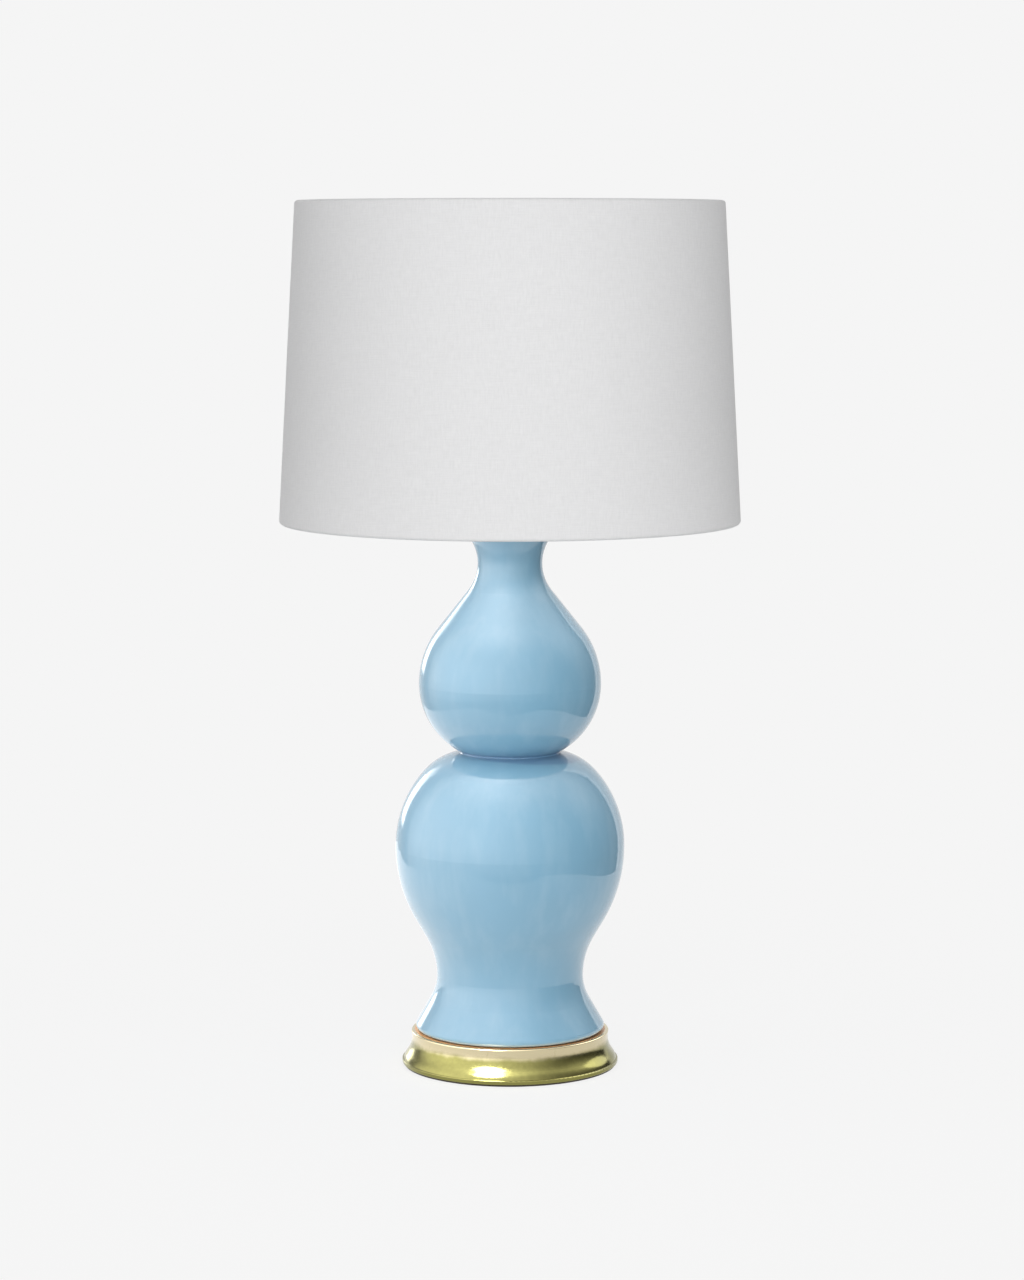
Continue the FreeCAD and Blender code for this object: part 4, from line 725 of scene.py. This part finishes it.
def grid_mesh(name, rows, loop=False, cloth=None):
    """A smooth mesh through rows of points. A loop joins each row's end to its start."""
    mesh = bpy.data.meshes.new(name)
    build = bmesh.new()
    grid = [[build.verts.new(point) for point in row] for row in rows]
    count = len(rows[0])
    layer = build.loops.layers.uv.new("cloth") if cloth else None
    for index in range(len(rows) - 1):
        for step in range(count if loop else count - 1):
            ahead = (step + 1) % count
            corners = [(index, step), (index, ahead), (index + 1, ahead), (index + 1, step)]
            face = build.faces.new([grid[row][column] for row, column in corners])
            face.smooth = True
            if layer:
                for edge, (row, column) in zip(face.loops, corners):
                    edge[layer].uv = cloth[row][column]
    build.to_mesh(mesh)
    build.free()
    return mesh


def place_piece(name, mesh, body, slot, replaced=None, look=None):
    """Puts a piece in the scene with its look, on its body and in place of its CAD node."""
    thing = new_object(name, mesh)
    thing.data.materials.append(look or LOOKS[slot])
    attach(thing, body)
    if replaced:
        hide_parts(replaced)
    return thing


def wobble(*values):
    """A smooth made-up unevenness between minus one and one, the same each run."""
    total = 0.0
    for index, value in enumerate(values):
        slow, quick = math.sin(value * 1.7 + index * 2.1), 0.6 * math.sin(value * 4.3 + index)
        total += slow + quick + 0.3 * math.sin(value * 9.1)
    return total / (1.9 * len(values))


# Each wire ring's centre line, as radius and height, how far out the cloth's middle lies, its thickness
RING_TOP = (196.7 * MM, 812.7 * MM)
RING_BOTTOM = (212.7 * MM, 519.3 * MM)
CLOTH_OUT = 3.0 * MM
CLOTH_THICK = 0.6 * MM
# The hem rolls this far round the ring, lands on the inner sheet and goes on along it
HEM_ROLL = math.radians(212)
HEM_RISE = 5.2 * MM
LINER_BACK = 1.4 * MM
TUCK = 7.0 * MM
# The hem is cut short round each arm of the spider
ARM_ANGLES = tuple(math.radians(90.0 + 120.0 * index) for index in range(3))
ARM_NOTCH = 0.034
HEM_AT_ARM = CLOTH_OUT * 3.3
# The lap at the back: where it starts, its width, how far it stands off, and the share of it that climbs
SEAM_ANGLE = math.radians(96.0)
SEAM_WIDTH = 11.0 * MM
SEAM_LIFT = 0.75 * MM
SEAM_CLIMB = 0.35
SEAM_SHARES = (0.02, 0.25, 0.5, 0.75, 0.96, 1.0)
# The middle of the cloth's map lies in front
MAP_MIDDLE = math.radians(270.0)
SHADE_COLUMNS = 480
FACE_STEPS = 40
HEM_STEPS = 25
ROLL_STEPS = 40
LANDING_STEPS = 10


def along_line(points, count, reach):
    """Evenly spaced points along a broken line, as far as a reach."""
    found = [points[0].copy()]
    gap = reach / (count - 1)
    wanted, run = gap, 0.0
    for start, end in zip(points, points[1:]):
        length = (end - start).length
        while length and run + length >= wanted - 1e-9 and len(found) < count:
            found.append(start.lerp(end, min(1.0, (wanted - run) / length)))
            wanted += gap
        run += length
    while len(found) < count:
        found.append(found[-1].copy())
    return found


def line_length(points):
    return sum((end - start).length for start, end in zip(points, points[1:]))


def hem_line():
    """From the outer side round a ring and in to the liner, as offsets outward and into the shade."""
    line = []
    for index in range(ROLL_STEPS + 1):
        angle = HEM_ROLL * index / ROLL_STEPS
        line.append(Vector((CLOTH_OUT * math.cos(angle), -CLOTH_OUT * math.sin(angle))))
    last = line[-1]
    landing = Vector((LINER_BACK, last.y + HEM_RISE))
    for index in range(1, LANDING_STEPS + 1):
        share = index / LANDING_STEPS
        ease = share * share * (3 - 2 * share)
        line.append(Vector((last.x + (landing.x - last.x) * ease, last.y + (landing.y - last.y) * share)))
    line.append(landing + Vector((0.0, TUCK)))
    return line


def shade_column(angle, lift):
    """One upright line of the cloth: points with their distance along the cloth from the lower ring."""
    top = Vector(RING_TOP)
    bottom = Vector(RING_BOTTOM)
    run = (top - bottom).length
    up = (top - bottom) / run
    out = Vector((up.y, -up.x))
    off_arms = [abs(math.remainder(angle - arm, 2 * math.pi)) for arm in ARM_ANGLES]
    notch = max(max(0.0, 1.0 - off / ARM_NOTCH) for off in off_arms)
    hem = hem_line()
    total = line_length(hem)
    ragged = 0.5 * MM * wobble(angle * 9.0) + 0.3 * MM * wobble(angle * 41.0)
    upper = along_line(hem, HEM_STEPS + 1, (total + ragged) * (1 - notch) + HEM_AT_ARM * notch)
    lower = along_line(hem, HEM_STEPS + 1, total - 1.0 * MM + ragged)
    column = []
    for index, point in enumerate(reversed(lower)):
        travel = -(HEM_STEPS - index) / HEM_STEPS * total
        column.append((bottom + out * (point.x + lift) + up * point.y, travel))
    for index in range(1, FACE_STEPS):
        share = index / FACE_STEPS
        puff = 0.10 * MM * wobble(angle * 5.0, share * 6.0) * math.sin(math.pi * share)
        column.append((bottom.lerp(top, share) + out * (CLOTH_OUT + lift + puff), run * share))
    for index, point in enumerate(upper):
        column.append((top + out * (point.x + lift) - up * point.y, run + index / HEM_STEPS * total))
    return column


def make_shade():
    """The linen, laid round a cone, rolled over both wire rings and lapped at the back."""
    slant = math.dist(RING_TOP, RING_BOTTOM)
    sine = (RING_BOTTOM[0] - RING_TOP[0]) / slant
    apex = RING_BOTTOM[0] / sine
    lap = SEAM_WIDTH / RING_BOTTOM[0]
    climb = lap * SEAM_CLIMB
    start = SEAM_ANGLE + 2 * math.pi
    angles = [SEAM_ANGLE + 2 * math.pi * index / SHADE_COLUMNS for index in range(SHADE_COLUMNS)]
    angles += [start - climb, start]
    angles += [start + lap * share for share in SEAM_SHARES]
    angles.sort()
    lines, maps = [], []
    for angle in angles:
        over = (angle - (start - climb)) / climb
        column = shade_column(angle, SEAM_LIFT * min(1.0, max(0.0, over)))
        ahead, aside = math.cos(angle), math.sin(angle)
        lines.append([(point.x * ahead, point.x * aside, point.y) for point, travel in column])
        turned = (angle - MAP_MIDDLE) * sine
        across, down = math.sin(turned), math.cos(turned)
        maps.append([((apex - travel) * across, apex - (apex - travel) * down) for point, travel in column])
    mesh = grid_mesh("linen_shade", lines, cloth=maps)
    cloth = place_piece("linen_shade", mesh, "shade", "linen", "shade_fabric")
    body = cloth.modifiers.new("thickness", "SOLIDIFY")
    body.thickness = CLOTH_THICK
    body.offset = 0.0


# Small round pieces, each laid out from the CAD node that it dresses

SLOTS = {part["node"]: part["material_slot"] for part in frame["record"]["subparts"]}


def reach(name):
    """The inner and outer radius and the lower and upper level of an upright round CAD node."""
    points = [vertex.co for vertex in nodes[name].data.vertices]
    radii = [math.hypot(point.x, point.y) for point in points]
    levels = [point.z for point in points]
    return min(radii), max(radii), min(levels), max(levels)


def turned_mesh(name, outline, columns, shift):
    """Turns a closed outline of (radius, height) points round +Z. The shift gives each point its place."""
    rows = []
    for radius, height in outline + outline[:1]:
        row = []
        for step in range(columns):
            angle = 2 * math.pi * step / columns
            out, up = shift(radius, height, angle)
            row.append((out * math.cos(angle), out * math.sin(angle), up))
        rows.append(row)
    mesh = grid_mesh(name, rows, loop=True)
    weld = bmesh.new()
    weld.from_mesh(mesh)
    bmesh.ops.remove_doubles(weld, verts=weld.verts, dist=1e-7)
    bmesh.ops.recalc_face_normals(weld, faces=weld.faces)
    weld.to_mesh(mesh)
    weld.free()
    return mesh


def dress_round(name, replaced, outline, columns, shift, body="lamp_body"):
    """Turns a piece and puts it in place of its CAD node."""
    mesh = turned_mesh(name, outline, columns, shift)
    return place_piece(name, mesh, body, SLOTS[replaced], replaced)


def steps(first, last, count):
    return [first + (last - first) * index / count for index in range(count + 1)]


def crowned(inner, outer, low, high, bulge, across=10, around=6):
    """Outline of a flat ring whose squeezed edges stand out by the bulge."""
    middle, half = (low + high) / 2, (high - low) / 2
    bends = [(bulge * math.sin(angle), half * math.cos(angle)) for angle in steps(0, math.pi, around)[1:-1]]
    line = [(radius, low) for radius in steps(inner, outer, across)]
    line += [(outer + out, middle - rise) for out, rise in bends]
    line += [(radius, high) for radius in steps(outer, inner, across)]
    if inner > 0:
        line += [(inner - out, middle + rise) for out, rise in bends]
    return line


# The base felt's slack over the nut's recess, the recess's radius, the dents below and the uneven cut edge
FELT_SLACK = 0.4 * MM
RECESS = 0.034
FELT_DENT = 0.11 * MM
FELT_CUT = 0.22 * MM
SEAT_CUT = 0.16 * MM
GASKET_CUT = 0.03 * MM


def make_felts():
    """The felt under the base, a little slack over the nut's recess, the felt under the foot, the gasket."""
    outer, low, high = reach("base_felt")[1:]

    def base_shift(radius, height, angle):
        lift = FELT_SLACK * max(0.0, 1 - (radius / RECESS) ** 2) ** 2
        if height < (low + high) / 2:
            lift += FELT_DENT * (1 + wobble(3 * angle, 70 * radius)) * min(1.0, radius / 0.01)
        edge = max(0.0, radius / outer - 0.99) * 100
        return radius + FELT_CUT * edge * wobble(31 * angle, 2000 * height), height + lift

    line = crowned(0.0, outer - 0.6 * MM, low, high, 0.4 * MM, 26)
    dress_round("felt_pad", "base_felt", line, 240, base_shift)
    inner, outer, low, high = reach("seat_ring")

    def seat_shift(radius, height, angle):
        return radius + SEAT_CUT * wobble(27 * angle, 900 * height, 40 * radius), height

    line = crowned(inner, outer, low, high, 0.3 * MM)
    dress_round("felt_seat", "seat_ring", line, 240, seat_shift)
    inner, outer, low, high = reach("mouth_gasket")

    def gasket_shift(radius, height, angle):
        return radius + GASKET_CUT * wobble(9 * angle, 600 * height), height

    line = crowned(inner, outer, low, high, 0.12 * MM, 6)
    dress_round("rubber_gasket", "mouth_gasket", line, 160, gasket_shift)


# The lamp thread: pitch, depth and the thickness of the sheet that it is rolled in
PITCH = 3.63 * MM
THREAD_DEPTH = 0.65 * MM
SHEET = 0.45 * MM


def helix(height, angle):
    """How near a point is to the rounded crest of the lamp thread, from nought to one."""
    return 0.5 + 0.5 * math.cos(2 * math.pi * height / PITCH - angle)


def eased(value, low, high):
    """Rises softly from nought at the low value to one at the high value."""
    share = min(1.0, max(0.0, (value - low) / (high - low)))
    return share * share * (3 - 2 * share)


def make_threads():
    """The thread rolled into the bulb's cap, and the one rolled into the socket's shell that holds it."""
    outer, low, high = reach("bulb_cap")[1:]
    root = outer - THREAD_DEPTH
    start, end, flare = low + 4.6 * MM, high - 7.2 * MM, high - 5.0 * MM
    tip = reach("bulb_button")[1]

    def cap_shift(radius, height, angle):
        held = eased(height, start, start + 1.6 * MM) * (1 - eased(height, end - 1.4 * MM, end))
        wall = root + (outer - root) * eased(height, end, flare) + THREAD_DEPTH * held * helix(height, angle)
        return min(radius, wall) if radius >= outer else min(radius, wall - SHEET), height

    climb = steps(low + 3.8 * MM, high - 0.25 * MM, 64)
    inside = outer - SHEET
    line = [(tip, low), (tip + 1.8 * MM, low + 1.9 * MM)] + [(outer, height) for height in climb]
    line += [(outer - 0.12 * MM, high), (inside + 0.05 * MM, high)]
    line += [(inside, height) for height in reversed(climb)] + [(tip, low + 0.45 * MM)]
    dress_round("threaded_bulb_cap", "bulb_cap", line, 96, cap_shift, "bulb")
    hole, outer, low, high = reach("thread_shell")

    def shell_shift(radius, height, angle):
        held = eased(height, low + 2.5 * MM, low + 5.0 * MM)
        held *= 1 - eased(height, high - 1.6 * MM, high - 0.2 * MM)
        if radius < outer - 2 * SHEET:
            held = 0.0
        return radius - THREAD_DEPTH * held * (1 - helix(height, angle)), height

    climb = steps(low + 0.5 * MM, high, 72)
    line = [(hole, low), (outer, low)] + [(outer, height) for height in climb]
    line += [(outer - 0.5 * MM, height) for height in reversed(climb)] + [(hole, low + 0.5 * MM)]
    dress_round("threaded_shell", "thread_shell", line, 96, shell_shift)


MIRRORS_MISS = (
    "linen_shade", "shade_liner", "top_ring", "bottom_ring", "spider_arm_1", "spider_arm_2", "spider_arm_3",
)


def keep_from_mirrors():
    """The glaze mirrors the room, and not the shade above it."""
    for name in MIRRORS_MISS:
        bpy.data.objects[name].visible_glossy = False


make_shade()
make_felts()
make_threads()
keep_from_mirrors()
